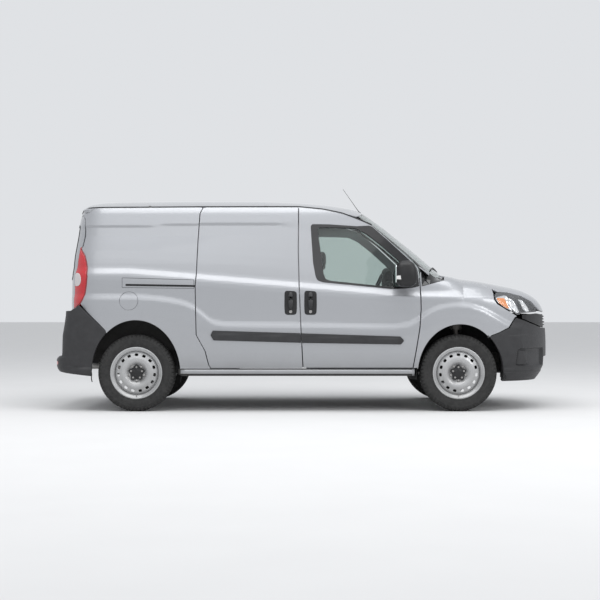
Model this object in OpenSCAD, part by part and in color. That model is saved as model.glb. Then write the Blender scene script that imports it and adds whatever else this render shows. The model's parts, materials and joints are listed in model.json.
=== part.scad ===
// Compact panel van: steel monocoque, hinged front and rear doors, steered front wheels.
// X points forward, Y to the van's left, Z up. Origin on the ground under the middle of the body.

/* [Body] */
// Thickness of doors and load-space walls
wall = 56; // [45:1:65]
// Thickness of the roof with its lining
roof_t = 32; // [20:1:40]
// Shut gap between panels
gap = 7; // [6:0.5:9]
// Height of the load floor
floor_z = 560; // [520:1:600]

/* [Wheels] */
// Front axle position along X
axle_f = 1305; // [1295:1:1315]
// Rear axle position along X
axle_r = -1450; // [-1460:1:-1440]
// Outside radius of the tyres
tyre_r = 328; // [322:1:332]
// Wheel centre plane, distance from the van's centre plane
track_half = 762; // [750:1:770]
// Steering axis, distance from the van's centre plane
kingpin_y = 625; // [620:1:630]

/* [Doors] */
// Split between the two rear doors, distance from the centre plane
rear_split = -130; // [-160:1:-100]

/* [Fuel flap] */
// Flap centre along X
flap_x = -1507; // [-1515:1:-1500]
// Flap centre height
flap_z = 943; // [938:1:948]
// Flap radius
flap_r = 80; // [75:1:84]

/* [Roof rack points] */
// Radius of the threaded holes
rack_r = 4; // [3:0.5:5]
// Spacing of the rack points along X
rack_dx = 1000; // [900:10:1100]
// Spacing of the rack points along Y
rack_dy = 1360; // [1350:1:1370]

/* [Hidden] */
$fn = 64;

silver = "#BDBEC1"; black = "#3A3A3A"; dark = "#222222"; glass_c = [0.6, 0.7, 0.68, 0.4];

// ---------- body surface ----------
// half-width of the body side by height
side_section = [[200,790],[290,822],[330,850],[345,856],[368,853],[420,868],[500,882],[600,894],[650,898],[700,898],
  [740,895],[780,888],[830,880],[900,882],[1000,886],[1045,883],[1100,860],[1150,850],[1200,842],[1300,826],
  [1500,788],[1608,766],[1700,742],[1740,724],[1757,712],[1790,690]];
// front end on the centre plane: height to X
nose_profile = [[200,2040],[300,2095],[340,2125],[400,2155],[480,2170],[540,2172],[600,2168],[700,2155],[850,2120]];
// rear face on the centre plane: height to X
tail_profile = [[200, -2058], [740, -2058], [820, -2058], [1000, -2058], [1200, -2053], [1330, -2043], [1470, -2021], [1563, -2008], [1628, -1998], [1712, -1980], [1757, -1960], [1850, -1920]];
// rear bumper face on the centre plane
bumper_profile = [[250,-2040],[300,-2110],[340,-2150],[368,-2168],[400,-2172],[440,-2172],[462,-2150],[500,-2140],
  [650,-2128],[740,-2108],[820,-2094],[950,-2088]];
// top line on the centre plane: X to height
roof_line = [[-2000,1700],[-1975,1755],[-1950,1790],[-1900,1815],[-1800,1828],[-1650,1833],[-1200,1840],[-450,1840],
  [-250,1833],[-50,1824],[100,1814],[220,1803],[300,1792],[380,1778],[440,1766],[500,1746],[560,1708],[610,1672],
  [720,1592],[830,1502],[940,1416],[1050,1324],[1160,1230],[1240,1162],[1300,1110]];
bonnet_line = [[960,1190],[1100,1178],[1250,1160],[1330,1143],[1400,1133],[1500,1121],[1600,1104],[1700,1087],
  [1800,1070],[1880,1050],[1935,1031],[1990,1003],[2040,972],[2075,935],[2100,900],[2120,850],[2140,780],[2155,700],[2170,690]];
// lower edge of the roof gutter
gutter = [[-1990,1690],[-1940,1735],[-1875,1752],[-900,1759],[-60,1760],[150,1738],[310,1704],[454,1650],[566,1600],[700,1490]];

xf0 = 1117; nf = 3;      // start and exponent of the nose's plan curve
xr0 = -1500; nr = 5; nb = 8;     // start and exponent of the tail's plan curve
z0 = 700;                // shoulder height where the front end starts to close over

function clamp(a, lo, hi) = min(hi, max(lo, a));
function ramp(a, lo, hi) = clamp((a - lo) / (hi - lo), 0, 1);
// the waistline falls towards the front
function belt_w(z) = ramp(z, 830, 1000) * (1 - ramp(z, 1260, 1500));
function hw(x, z) = lookup(z + 0.083 * clamp(x, -1600, 900) * belt_w(z), side_section);
function mx(x) = 14 - 8.5 * ramp(x, 1000, 1350) - 1.1 * ramp(x, 1500, 1750);
function plan(x, z) = x > xf0 ? pow(max(0, 1 - pow((x - xf0) / (lookup(min(z, z0), nose_profile) - xf0), nf)), 1 / nf)
  : x < xr0 ? pow(max(0, 1 - pow((xr0 - x) / (xr0 - lookup(z, tail_profile)), nr)), 1 / nr) : 1;
function shut(x, z) = (x < 1000 || z <= z0) ? 1
  : let (m = mx(x), t = (z - z0) / (lookup(x, bonnet_line) - z0)) t >= 1 ? 0 : pow(1 - pow(t, m), 1 / m);
function ys(x, z) = hw(x, z) * plan(x, z) * shut(x, z);
// top surfaces
function crown(x) = 83 - 8 * ramp(x, 0, 450) - 35 * ramp(x, 450, 750);
function top(x, y) = lookup(x + 1.8e-4 * ramp(x, -100, 500) * y * y, roof_line) - crown(x) * pow(abs(y) / 712, 2.6);
function hood(x, y, z = 1000, n = 5) = n == 0 ? z : let (m = mx(x), t = min(0.9995, abs(y) / (hw(x, z) * plan(x, z0)))) hood(x, y, z0 + (lookup(x, bonnet_line) - z0) * pow(1 - pow(t, m), 1 / m), n - 1);
// plan curve of the rear corner and of the bumpers, by angle from the centre line
function polar(a, b, n, t) = 1 / pow(pow(abs(cos(t)) / a, n) + pow(abs(sin(t)) / b, n), 1 / n);

// closed solid between two grids of points
module slab(us, vs, fo, fi) {
  nu = len(us); nv = len(vs); n = nu * nv;
  pts = concat([for (u = us) for (v = vs) fo(u, v)], [for (u = us) for (v = vs) fi(u, v)]);
  function q(a, b, c, d) = [[a, b, c], [a, c, d]];
  faces = concat(
    [for (i = [0:nu - 2]) for (j = [0:nv - 2]) for (f = q(i*nv+j, i*nv+j+1, (i+1)*nv+j+1, (i+1)*nv+j)) f],
    [for (i = [0:nu - 2]) for (j = [0:nv - 2]) for (f = q(n+i*nv+j, n+(i+1)*nv+j, n+(i+1)*nv+j+1, n+i*nv+j+1)) f],
    [for (i = [0:nu - 2]) for (f = q(i*nv, (i+1)*nv, n+(i+1)*nv, n+i*nv)) f],
    [for (i = [0:nu - 2]) for (f = q(i*nv+nv-1, n+i*nv+nv-1, n+(i+1)*nv+nv-1, (i+1)*nv+nv-1)) f],
    [for (j = [0:nv - 2]) for (f = q(j, n+j, n+j+1, j+1)) f],
    [for (j = [0:nv - 2]) for (f = q((nu-1)*nv+j, (nu-1)*nv+j+1, n+(nu-1)*nv+j+1, n+(nu-1)*nv+j)) f]);
  polyhedron(points = pts, faces = faces, convexity = 8);
}
// right-hand side skin, t thick
module side_skin(xs, zs, t, out = 0)
  slab(xs, zs, function (x, z) [x, -ys(x, z) - out, z], function (x, z) [x, -ys(x, z) + t, z]);
// prism of a side-view outline, through the right side
module cut(pts, y1 = -1200, y2 = -300) translate([0, y2, 0]) rotate([90, 0, 0]) linear_extrude(y2 - y1) polygon(pts);
module cut_off(pts, e, y1 = -1200, y2 = -300) translate([0, y2, 0]) rotate([90, 0, 0]) linear_extrude(y2 - y1) offset(delta = e) polygon(pts);
module cut_r(pts, r, e = 0, y1 = -1200, y2 = -300) translate([0, y2, 0]) rotate([90, 0, 0]) linear_extrude(y2 - y1) offset(delta = -e) offset(r) offset(-r) polygon(pts);
roof_xs = [-1990, -1975, -1960, -1945, -1930, -1900, -1800, -1650, -1200, -700, -450, -250, -50, 100, 220, 300, 380, 440, 500, 560];
roof_ys = [-712, -690, -640, -540, -380, -190, 0, 190, 380, 540, 640, 690, 712];
// space taken by the roof, to be kept clear by what comes up to it from below
module roof_room() slab(roof_xs, [-712, -690, -640, -540, -380], function (x, y) [x, y, 2000], function (x, y) [x, y, top(x, y) - roof_t - 6]);
module both() { children(); mirror([0, 1, 0]) children(); }
// everything goes through one mesh evaluation, so curved panels stay closed
module mesh() resize([0, 0, 0]) children();
module arch(x, a, b, e = 0) translate([x, 0, 330]) rotate([90, 0, 0]) linear_extrude(1300) { scale([(a + e), (b + e)]) circle(r = 1, $fn = 48); translate([-a - e, -300]) square([2 * (a + e), 300]); }

side_z = [290, 330, 368, 420, 500, 600, 700, 780, 830, 900, 1000, 1060, 1110, 1150, 1210, 1300, 1400, 1500, 1608, 1700, 1740, 1762];
door_rear = [[-22, 372], [-42, 759], [-55, 1064], [-63, 1369], [-60, 1752]];
slide_rear = [[-885, 1752], [-909, 1698], [-914, 1614], [-922, 1473], [-932, 1169], [-940, 1064], [-937, 911], [-930, 653],
  [-910, 615], [-856, 517], [-826, 395], [-811, 372]];
door_front = [[566, 1592], [700, 1475], [914, 1279], [957, 1226], [968, 1128], [973, 1030], [977, 873], [965, 715], [941, 558], [910, 372]];
door_outline = concat([for (p = door_rear) p], [[-60, 1800], [560, 1800]], door_front);
lamp_side = [[1616, 985], [1640, 1006], [1672, 1015], [1751, 1009], [1869, 979], [1966, 926], [2022, 868], [2036, 846], [1860, 836], [1820, 820], [1716, 876], [1640, 925], [1618, 958]];

module below_top(o) slab([for (x = [-2100, -2000, -1975, -1950, -1900, -1800, -1650, -1200, -700, -450, -250, -50, 100, 220, 300, 380, 440, 500, 560, 610, 720, 830, 940, 1050, 1160, 1240, 1300]) x],
  [-1000, -790, -740, -700, -620, -450, -200], function (x, y) [x, y, top(x, y) - o], function (x, y) [x, y, 100]);
// limits a side panel to the space below the gutter line
module below_gutter(o) cut(concat([for (p = gutter) p - [0, o]], [[1100, 1490], [1100, 100], [-2200, 100], [-2200, 1660]]));

// ---------- body panels ----------
module sliding_doors() color(silver) both() mesh() difference() { intersection() {
  side_skin([-950, -930, -900, -850, -700, -500, -300, -150, -60, -10], side_z, wall);
  cut(concat(slide_rear, [for (i = [0:4]) door_rear[i] - [gap, 0]], [[-500, 1800]]));
  below_gutter(8);
} roof_room(); }
module front_door_skin(t) intersection() {
  side_skin([-70, 0, 100, 250, 400, 520, 600, 680, 760, 840, 900, 940, 980], side_z, t);
  cut(door_outline);
  below_gutter(8);
}
window_hole = [[112, 1574], [150, 1583], [424, 1575], [520, 1528], [651, 1424], [760, 1327], [842, 1250], [870, 1205], [868, 1110], [845, 1060], [731, 1056], [200, 1110], [160, 1128], [146, 1165]];
module front_door() color(silver) mesh() difference() {
  union() {
    front_door_skin(12);
    intersection() { front_door_skin(wall); cut(concat([for (p = door_rear) p + [14, 0]], [[-46, 1800], [560, 1800]], door_front)); }
  }
  cut_r(window_hole, 10);
  roof_room();
}
module front_door_right() front_door();
module front_door_left() mirror([0, 1, 0]) front_door();
module door_glass() color(glass_c) mesh() intersection() {
  slab([100, 250, 400, 520, 600, 680, 760, 840, 880], [1050, 1110, 1210, 1300, 1400, 1500, 1600],
    function (x, z) [x, -ys(x, z) + 16, z], function (x, z) [x, -ys(x, z) + 20.5, z]);
  cut_r(window_hole, 10, 1);
}
module door_glass_right() door_glass();
module door_glass_left() mirror([0, 1, 0]) door_glass();

function rear_pt(t, z, d) = let (r = polar(xr0 - lookup(z, tail_profile) - d, hw(-1500, z) - d, nr, t)) [xr0 - r * cos(t), -r * sin(t), z];
quarter_z = [290, 330, 368, 420, 500, 600, 700, 780, 900, 1000, 1100, 1180, 1230, 1290, 1400, 1500, 1608, 1700, 1740, 1762];
// u at or above zero runs along the side from the rear axle; below zero it turns round the rear corner
module quarter_skin(us, zs, d, t) slab(us, zs,
  function (u, z) u >= 0 ? [xr0 + u, -hw(xr0 + u, z) - d, z] : rear_pt(90 + u, z, -d),
  function (u, z) u >= 0 ? [xr0 + u, -hw(xr0 + u, z) + t, z] : rear_pt(90 + u, z, t));
tail_outline = [[-2300, 1429], [-1975, 1429], [-1930, 1400], [-1893, 1330], [-1876, 1240], [-1871, 1186], [-1876, 1100], [-1892, 1010], [-1925, 932], [-1975, 882], [-2010, 868], [-2300, 868]];
jamb_right = [[-790, 480], [-790, 1180], [-772, 1330], [-735, 1500], [-706, 1600], [-680, 1655], [-640, 1690]];
jamb_pts = concat(jamb_right, [for (i = [6:-1:0]) [-jamb_right[i][0], jamb_right[i][1]]]);
// rear door opening, a prism along X
module jamb(e = 0) translate([-2400, 0, 0]) rotate([90, 0, 90]) linear_extrude(900) offset(delta = -e) polygon(jamb_pts);
module quarter(flap) mesh() difference() {
  intersection() {
    quarter_skin([-35, -32, -29, -25, -20, -14, -7, 0, 120, 250, 380, 500, 560, 580, 660, 700], quarter_z, 0, wall);
    cut([[-2300, 1660], [-1990, 1689], [-1940, 1734], [-1875, 1751], [-900, 1758], [-800, 1758], [-800, 365], [-1105, 365], [-1696, 689], [-1932, 918], [-2300, 918]], -1200, 0);
  }
  cut(concat([for (p = slide_rear) p - [7, 0]], [[-700, 365], [-700, 1800], [-892, 1800]]));
  translate([-860, -1000, 365]) cube([200, 400, 1500]);
  cut(tail_outline, -1200, 0);
  jamb();
  roof_room();
  arch(axle_r, 378, 450);
  if (flap) translate([flap_x, -750, flap_z]) rotate([90, 0, 0]) cylinder(r = flap_r + 6, h = 300);
}
module quarter_panels() color(silver) { quarter(true); mirror([0, 1, 0]) quarter(false); }
module tail_lamps() color("#B0141C") both() mesh() difference() {
  intersection() {
    quarter_skin([-36, -33, -29, -25, -20, -14, -7, 0, 30], [860, 900, 960, 1030, 1100, 1180, 1260, 1340, 1390, 1440], 0, wall);
    cut([for (p = tail_outline) p[0] > -2200 ? p + [-2, p[1] > 1150 ? -2 : 2] : p + [0, p[1] > 1150 ? -2 : 2]], -1200, 0);
  }
  jamb();
}
module roof_panel() color(silver) mesh() intersection() {
  slab(roof_xs, roof_ys, function (x, y) [x, y, top(x, y)], function (x, y) [x, y, top(x, y) - roof_t]);
  linear_extrude(2000) difference() { polygon([[-1968, 0], [-1966, -300], [-1952, -560], [-1925, -664], [-1880, -696], [-900, -704], [0, -704], [250, -700], [380, -690], [436, -672], [482, -520], [512, -250], [520, 0], [512, 250], [482, 520], [436, 672], [380, 690], [250, 700], [0, 704], [-900, 704], [-1880, 696], [-1925, 664], [-1952, 560], [-1966, 300]]);
    for (sx = [-1, 1], sy = [-1, 1]) translate([-850 + sx * rack_dx / 2, sy * rack_dy / 2]) circle(r = 13, $fn = 24); }
}
module windscreen() color(glass_c) mesh() intersection() {
  slab([420, 500, 560, 610, 720, 830, 940, 1050, 1160, 1235, 1250], [-760, -700, -600, -400, -200, 0, 200, 400, 600, 700, 760],
    function (x, y) [x, y, top(x, y)], function (x, y) [x, y, top(x, y) - 6]);
  linear_extrude(2000) polygon([[526, 0], [518, -250], [488, -520], [446, -660], [600, -690], [800, -722], [1060, -752], [1120, -720], [1180, -560], [1215, -300], [1225, 0], [1215, 300], [1180, 560], [1120, 720], [1060, 752], [800, 722], [600, 690], [446, 660], [488, 520], [518, 250]]);
}

// ---------- front end ----------
bonnet_edge = [[1030, 1152], [1200, 1120], [1400, 1078], [1560, 1040], [1672, 1023], [1751, 1017], [1869, 987], [1966, 934], [2022, 876], [2050, 853], [2130, 849]];
bonnet_side = [[1030, 700], [1200, 694], [1400, 692], [1520, 701], [1610, 722], [1672, 745]];
function bonnet_y(x) = x < 1672 ? lookup(x, bonnet_side) : max(2, ys(x, lookup(x, bonnet_edge)));
function bonnet_t(x) = 28 - 17 * ramp(x, 1990, 2105);
module bonnet() color(silver) mesh() intersection() {
  slab([1068, 1100, 1150, 1200, 1250, 1330, 1420, 1520, 1620, 1720, 1800, 1870, 1930, 1985, 2035, 2075, 2105, 2118], [-1, -0.96, -0.88, -0.72, -0.5, -0.25, 0, 0.25, 0.5, 0.72, 0.88, 0.96, 1],
    function (x, s) [x, s * bonnet_y(x), hood(x, s * bonnet_y(x))], function (x, s) [x, s * (bonnet_y(x) - 8), hood(x, s * bonnet_y(x)) - bonnet_t(x)]);
  linear_extrude(2000) polygon([[1244, 0], [1232, 300], [1196, 560], [1134, 720], [1078, 800], [1076, 900], [2300, 900], [2300, -900], [1076, -900], [1078, -800], [1134, -720], [1196, -560], [1232, -300]]);
}
// space kept clear under the bonnet
module bonnet_room() for (s = [0, 1]) mirror([0, s, 0]) slab([1060, 1100, 1150, 1200, 1250, 1330, 1420, 1520, 1620, 1720, 1800, 1870, 1930, 1985, 2035, 2075, 2105, 2126], [0, 0.25, 0.5, 0.72, 0.88, 0.96, 1, 2],
  function (x, s) [x, s > 1 ? bonnet_y(x) + 9 : s * (bonnet_y(x) - 8), 2000], function (x, s) [x, s > 1 ? bonnet_y(x) + 9 : s * (bonnet_y(x) - 8), hood(x, min(1, s) * bonnet_y(x)) - bonnet_t(x) - 14]);
// distance from the nose's inner reference to its surface, at angle t from straight ahead
function nose_r(t, z, lo = 0, hi = 1060, n = 22) = n == 0 ? lo : let (r = (lo + hi) / 2, x = xf0 + r * cos(t), inside = z < lookup(x, bonnet_line) && r * sin(t) < ys(x, z)) nose_r(t, z, inside ? r : lo, inside ? hi : r, n - 1);
function nose_pt(t, z, d) = let (r = nose_r(abs(t), z) - d) [xf0 + r * cos(t), -r * sin(t), z];
nose_z = [250, 300, 340, 400, 480, 540, 600, 700, 790, 850];
module nose_skin(ts, zs, t, out = 0) slab([for (i = [len(ts) - 1:-1:0]) -ts[i]], zs, function (u, z) nose_pt(-u, z, -out), function (u, z) nose_pt(-u, z, t));
wing_outline = concat([[924, 372], [955, 558], [979, 715], [991, 873], [987, 1030], [985, 1066], [1090, 1095], [1190, 1122], [1230, 1190], [1560, 1160]],
  [[1604, 1100], [1604, 1024], [1606, 985], [1608, 956], [1633, 919], [1712, 870], [1816, 813], [1798, 806], [1738, 714], [1577, 646], [1540, 632], [1500, 400], [1100, 372]]);
module wings() color(silver) both() mesh() difference() {
  intersection() {
    slab([916, 950, 1000, 1060, 1117, 1180, 1260, 1340, 1420, 1500, 1580, 1640, 1672, 1740, 1830], [0, 0.1, 0.25, 0.4, 0.55, 0.7, 0.8, 0.87, 0.92, 0.96, 0.98, 1],
      function (x, s) let (z = 365 + s * (hood(x, bonnet_y(x) + 7) - 365)) [x, -ys(x, z), z], function (x, s) let (z = 365 + s * (hood(x, bonnet_y(x) + 7) - 365)) [x, -ys(x, z) + 26, z - 14 * pow(s, 6)]);
    cut(wing_outline);
  }
  bonnet_room();
  arch(1315, 360, 415);
}
module headlamps() color([0.8, 0.85, 0.88, 0.6]) both() mesh() difference() { intersection() {
  nose_skin([14, 22, 30, 36, 42, 48, 54, 60, 66], [810, 840, 870, 900, 930, 960, 990, 1022], 90);
  cut([for (p = lamp_side) p + [p[0] < 1700 ? 2 : p[0] > 1990 ? -2 : 0, p[1] > 900 ? -5 : 1]], -1200, -100);
} bonnet_room(); }
grille_outline = [[1862, 792], [1862, 829], [2036, 839], [2090, 832], [2300, 832], [2300, 709], [2080, 722]];
module nose_cut(pts) translate([0, 1200, 0]) rotate([90, 0, 0]) linear_extrude(2400) polygon(pts);
module grille() color(dark) mesh() intersection() {
  nose_skin([-48, -40, -32, -24, -16, -8, 0, 8, 16, 24, 32, 40, 48], [700, 740, 780, 820, 850], 50);
  nose_cut(grille_outline);
}
module front_bumper() color(black) mesh() difference() {
  intersection() {
    nose_skin([-86, -78, -68, -58, -48, -38, -28, -18, -9, 0, 9, 18, 28, 38, 48, 58, 68, 78, 86], nose_z, 40);
    nose_cut([[1300, 240], [2300, 240], [2300, 702], [2080, 715], [1850, 786], [1807, 798], [1743, 706], [1582, 638], [1540, 622], [1400, 400]]);
  }
  both() arch(1315, 372, 415);
  // lower air intake
  translate([1900, -430, 330]) cube([400, 860, 130]);
  // blank fog lamp recesses
  both() translate([1990, -700, 440]) rotate([90, 0, 62]) cylinder(r = 48, h = 60, center = true);
}

// ---------- rear end ----------
function bump_pt(t, z, d) = let (r = polar(xr0 - lookup(z, bumper_profile) - d, hw(-1500, z) + 3 - d, nb, abs(t))) [xr0 - r * cos(t), -r * sin(t), z];
module rear_bumper() color(black) mesh() difference() {
  intersection() {
    slab([-90, -80, -70, -62, -57, -52, -46, -38, -26, -13, 0, 13, 26, 38, 46, 52, 57, 62, 70, 80, 90], [250, 300, 340, 368, 400, 440, 462, 500, 580, 650, 740, 820, 905],
      function (u, z) bump_pt(u, z, 0), function (u, z) bump_pt(u, z, 42));
    nose_cut([[-1700, 682], [-1938, 908], [-1962, 886], [-2012, 860], [-2300, 860], [-2300, 240], [-1500, 240], [-1500, 500]]);
  }
  translate([-2400, -797, 466]) cube([900, 1594, 600]);
  both() arch(axle_r, 378, 450);
}
module tail_ring(t0, t1, zs, d, t) slab([for (i = [0:14]) t0 + (t1 - t0) * i / 14], zs,
  function (u, z) let (r = polar(xr0 - lookup(z, tail_profile) - d, hw(-1500, z) - d, nr, abs(u))) [xr0 - r * cos(u), -r * sin(u), z],
  function (u, z) let (r = polar(xr0 - lookup(z, tail_profile) - t, hw(-1500, z) - t, nr, abs(u))) [xr0 - r * cos(u), -r * sin(u), z]);
tail_z = [484, 600, 740, 820, 1000, 1120, 1200, 1330, 1470, 1563, 1628, 1700];
module yz_cut(pts, r = 0) translate([-2400, 0, 0]) rotate([90, 0, 90]) linear_extrude(900) offset(r) offset(-r) polygon(pts);
window_right = [[-694, 1140], [-690, 1200], [-655, 1400], [-610, 1590], [-215, 1600], [-215, 1140]];
window_left = [[-45, 1140], [-45, 1600], [610, 1590], [655, 1400], [690, 1200], [694, 1140]];
module rear_door_right() color(silver) mesh() difference() {
  intersection() { tail_ring(0, 62, tail_z, 0, 50); jamb(gap); translate([-2400, -900, 0]) cube([900, 900 + rear_split - gap / 2, 2000]); }
  yz_cut(window_right, 30);
}
module rear_door_left() {
  color(silver) mesh() difference() {
    intersection() { tail_ring(-62, 14, tail_z, 0, 50); jamb(gap); translate([-2400, rear_split + gap / 2, 0]) cube([900, 1100, 2000]); }
    yz_cut(window_left, 30);
  }
  // handle and number-plate housing
  color(black) hull() { translate([-2118, -60, 850]) cube([10, 480, 130]); translate([-2060.5, -80, 835]) cube([1, 520, 160]); }
}
module rear_window_right() color(glass_c) mesh() intersection() { tail_ring(4, 62, tail_z, 16, 20.5); yz_cut([for (p = window_right) p], 30); translate([-2400, -900, 1100]) cube([900, 900, 520]); }
module rear_window_left() color(glass_c) mesh() intersection() { tail_ring(-62, -1, tail_z, 16, 20.5); yz_cut(window_left, 30); translate([-2400, -100, 1100]) cube([900, 900, 520]); }
module fuel_flap() color(silver) translate([flap_x, -hw(flap_x, flap_z) + 3, flap_z]) rotate([90, 0, 0]) cylinder(r = flap_r, h = 5, center = true);
module antenna() color(dark) {
  translate([495, 0, top(495, 0) + 1.5]) rotate([0, 22, 0]) cylinder(r1 = 17, r2 = 11, h = 14, $fn = 24);
  translate([497, 0, 1754]) rotate([0, -35, 0]) cylinder(r1 = 4.5, r2 = 2.5, h = 268, $fn = 16);
}
module roof_rack_bosses() color(dark) for (sx = [-1, 1], sy = [-1, 1]) translate([-850 + sx * rack_dx / 2, sy * rack_dy / 2, 1742]) difference() {
  cylinder(r = 11, h = 26); translate([0, 0, 4]) cylinder(r = rack_r, h = 30); }

// ---------- inner structure ----------
module below_roof(o) slab(roof_xs, roof_ys, function (x, y) [x, y, top(x, y) - o], function (x, y) [x, y, 100]);
module post(xs, y_out, w) intersection() { // upright inside a door gap
  slab(xs, side_z, function (x, z) [x, -ys(x, z) + y_out, z], function (x, z) [x, -ys(x, z) + y_out + w, z]);
}
module pillars() color(silver) {
  both() mesh() difference() { intersection() { // screen pillars
    slab([440, 500, 560, 610, 720, 830, 940, 1020, 1060], [-860, -800, -760, -740, -700, -670], function (x, y) [x, y, top(x, max(y, -ys(x, 1180) - 60)) - 3], function (x, y) [x, y, top(x, y) - 60]);
    cut([for (p = concat([[440, 1640], [566, 1599]], [for (i = [1:3]) door_front[i] + [8, 6]], [[985, 1215], [1065, 1150], [1065, 1400], [440, 1900]])) p], -900, -600);
    translate([0, -900, 0]) linear_extrude(2000) polygon([[436, 190], [600, 205], [800, 172], [1052, 143], [1052, 60], [940, 60], [600, 110], [436, 170]]);
  } cut_off(door_outline, gap); roof_room(); }
  // centre and rear posts behind the door gaps
  both() mesh() intersection() { union() { post([-150, -100, -50, 10], wall + 10, 34); post([-1010, -960, -900, -880], wall + 10, 30); } translate([-2000, -1000, floor_z + 3]) cube([2100, 1000, 1060]); }
  // cant rails
  both() mesh() intersection() { below_roof(roof_t + 3); translate([-1790, -648, 1600]) cube([2070, 40, 200]); cut([[-1790, 1655], [-1790, 1800], [280, 1800], [280, 1635]], -700, -600); }
  // rear header
  mesh() intersection() { tail_ring(-46, 46, [1690, 1700, 1720, 1757, 1790], 12, 50); below_roof(roof_t + 3); translate([-2400, -604, 1692]) cube([900, 1208, 200]); }
}
module underbody() color(black) {
  difference() {
    translate([0, 0, 520]) linear_extrude(floor_z - 520) polygon([[-1948, -600], [-1912, -700], [-1858, -780], [-1840, -818], [30, -818], [30, 818], [-1840, 818], [-1858, 780], [-1912, 700], [-1948, 600]]);
    for (s = [-1, 1]) translate([-1836, s > 0 ? 628 : -928, 500]) cube([772, 300, 100]);
  }
  // wheel boxes
  both() difference() {
    translate([-1836, -820, 520]) cube([772, 192, 260]);
    translate([-1826, -850, 500]) cube([752, 212, 270]);
  }
  // sills
  both() difference() { translate([-1085, -868, 305]) cube([1990, 108, 56]); translate([-1085, -880, 285]) rotate([0, 45, 0]) cube([40, 300, 60], center = true); }
  // cab floor, its step up to the load floor, and the toe boards beside the front wheels
  translate([30, -756, 361]) cube([858, 1512, 34]);
  difference() { translate([30, -756, 395]) cube([34, 1512, 125]); translate([20, -300, 460]) cube([100, 600, 10]); }
  both() translate([862, -756, 395]) cube([26, 320, 320]);
  // side members
  both() { translate([-1975, -480, 420]) cube([2000, 60, 98]); translate([20, -480, 300]) cube([900, 60, 60]); translate([892, -440, 300]) cube([28, 60, 188]); translate([892, -440, 400]) cube([1084, 60, 88]); translate([10, -480, 300]) cube([15, 60, 218]); }
  translate([1976, -440, 400]) cube([30, 880, 88]);
}
module firewall() color(black) {
  translate([890, -790, 721]) cube([26, 1580, 340]);
  translate([890, -434, 494]) cube([26, 868, 227]);
  // cowl tray under the windscreen
  mesh() intersection() { slab([1010, 1060, 1110, 1160, 1210, 1240, 1262], [-780, -600, -400, -200, 0, 200, 400, 600, 780], function (x, y) [x, y, min(top(x, y) - 12, hood(x, y) - 36)], function (x, y) [x, y, min(top(x, y), hood(x, y)) - 60]);
    linear_extrude(2000) polygon([[1000, -735], [1060, -735], [1200, -560], [1240, -300], [1258, 0], [1240, 300], [1200, 560], [1060, 735], [1000, 735]]); }
}
module engine_block() color("#666666") translate([1390, -330, 330]) cube([430, 640, 560]);
module front_subframe() color(black) {
  translate([1180, -440, 250]) cube([240, 880, 60]);
  both() { translate([0, 0, 0]) difference() { hull() { translate([1200, -446, 250]) cube([200, 2, 30]); translate([axle_f, -kingpin_y, 250]) cylinder(r = 34, h = 30); } } }
}
module rear_axle() color(black) {
  rotate([90, 0, 0]) translate([axle_r, tyre_r, -805]) cylinder(r = 29.95, h = 1610);
  difference() { translate([axle_r - 40, -620, 262]) cube([80, 1240, 60]); rotate([90, 0, 0]) translate([axle_r, tyre_r, -905]) cylinder(r = 30.5, h = 1810); }
}
module fuel_tank() color(dark) translate([-1180, -360, 300]) cube([560, 700, 200]);
module exhaust() color("#777777") { translate([-1950, 380, 330]) rotate([0, 90, 0]) cylinder(r = 80, h = 380); translate([-2045, 380, 330]) rotate([0, 90, 0]) cylinder(r = 26, h = 95); }
module seats() color(dark) both() {
  difference() { union() {
    translate([120, -620, 396]) cube([380, 460, 170]);
    hull() { translate([90, -620, 580]) cube([40, 460, 90]); translate([560, -620, 600]) cube([40, 460, 90]); }
    hull() { translate([130, -620, 680]) cube([90, 460, 20]); translate([92, -600, 1190]) cube([80, 420, 20]); }
    hull() { translate([96, -520, 1215]) cube([86, 260, 170]); } } }
}
module dashboard() color(dark) difference() {
  union() { hull() { translate([760, -760, 850]) cube([120, 1520, 150]); translate([830, -740, 1020]) cube([52, 1480, 40]); }
    translate([700, 370, 1021]) rotate([0, 112, 0]) cylinder(r = 34, h = 90); }
  translate([660, 370, 1037]) rotate([0, 112, 0]) cylinder(r = 20.05, h = 115);
}
module steering_wheel() color(dark) translate([660, 370, 1037]) rotate([0, 112, 0]) {
  rotate_extrude() translate([172, 0]) circle(r = 13, $fn = 24);
  translate([0, 0, -12]) cylinder(r = 60, h = 36);
  for (a = [0, 90, 180, 270]) rotate([0, 0, a]) translate([50, -14, -6]) cube([114, 28, 12]);
  cylinder(r = 20, h = 110);
}
module wiper(y0, y1, x0, x1) for (i = [0:4]) hull() for (k = [i, i + 1]) let (x = x0 + (x1 - x0) * k / 5, y = y0 + (y1 - y0) * k / 5) translate([x, y, top(x, y) + 13]) sphere(r = 7, $fn = 12);
module wipers() color(dark) { wiper(-120, -640, 1170, 1085); wiper(470, -60, 1150, 1176); }
module mirror_right() color(dark) {
  hull() { translate([800, -1075, 1070]) cube([80, 30, 190]); translate([765, -1060, 1080]) cube([60, 120, 190]); translate([800, -900, 1085]) cube([120, 10, 150]); }
  hull() { translate([810, -905, 1085]) cube([90, 20, 60]); translate([790, -862, 1080]) cube([110, 2, 70]); }
}
module mirror_left() mirror([0, 1, 0]) mirror_right();
module knuckle_right() color(dark) {
  translate([axle_f, -kingpin_y, 286]) cylinder(r = 30, h = 130);
  translate([axle_f, -kingpin_y, tyre_r]) rotate([90, 0, 0]) cylinder(r = 29.95, h = 181);
  translate([axle_f, -kingpin_y, 416]) cylinder(r = 26, h = 280);
  translate([axle_f, -kingpin_y, 696]) cylinder(r = 55, h = 160);
}
module knuckle_left() mirror([0, 1, 0]) knuckle_right();

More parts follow.
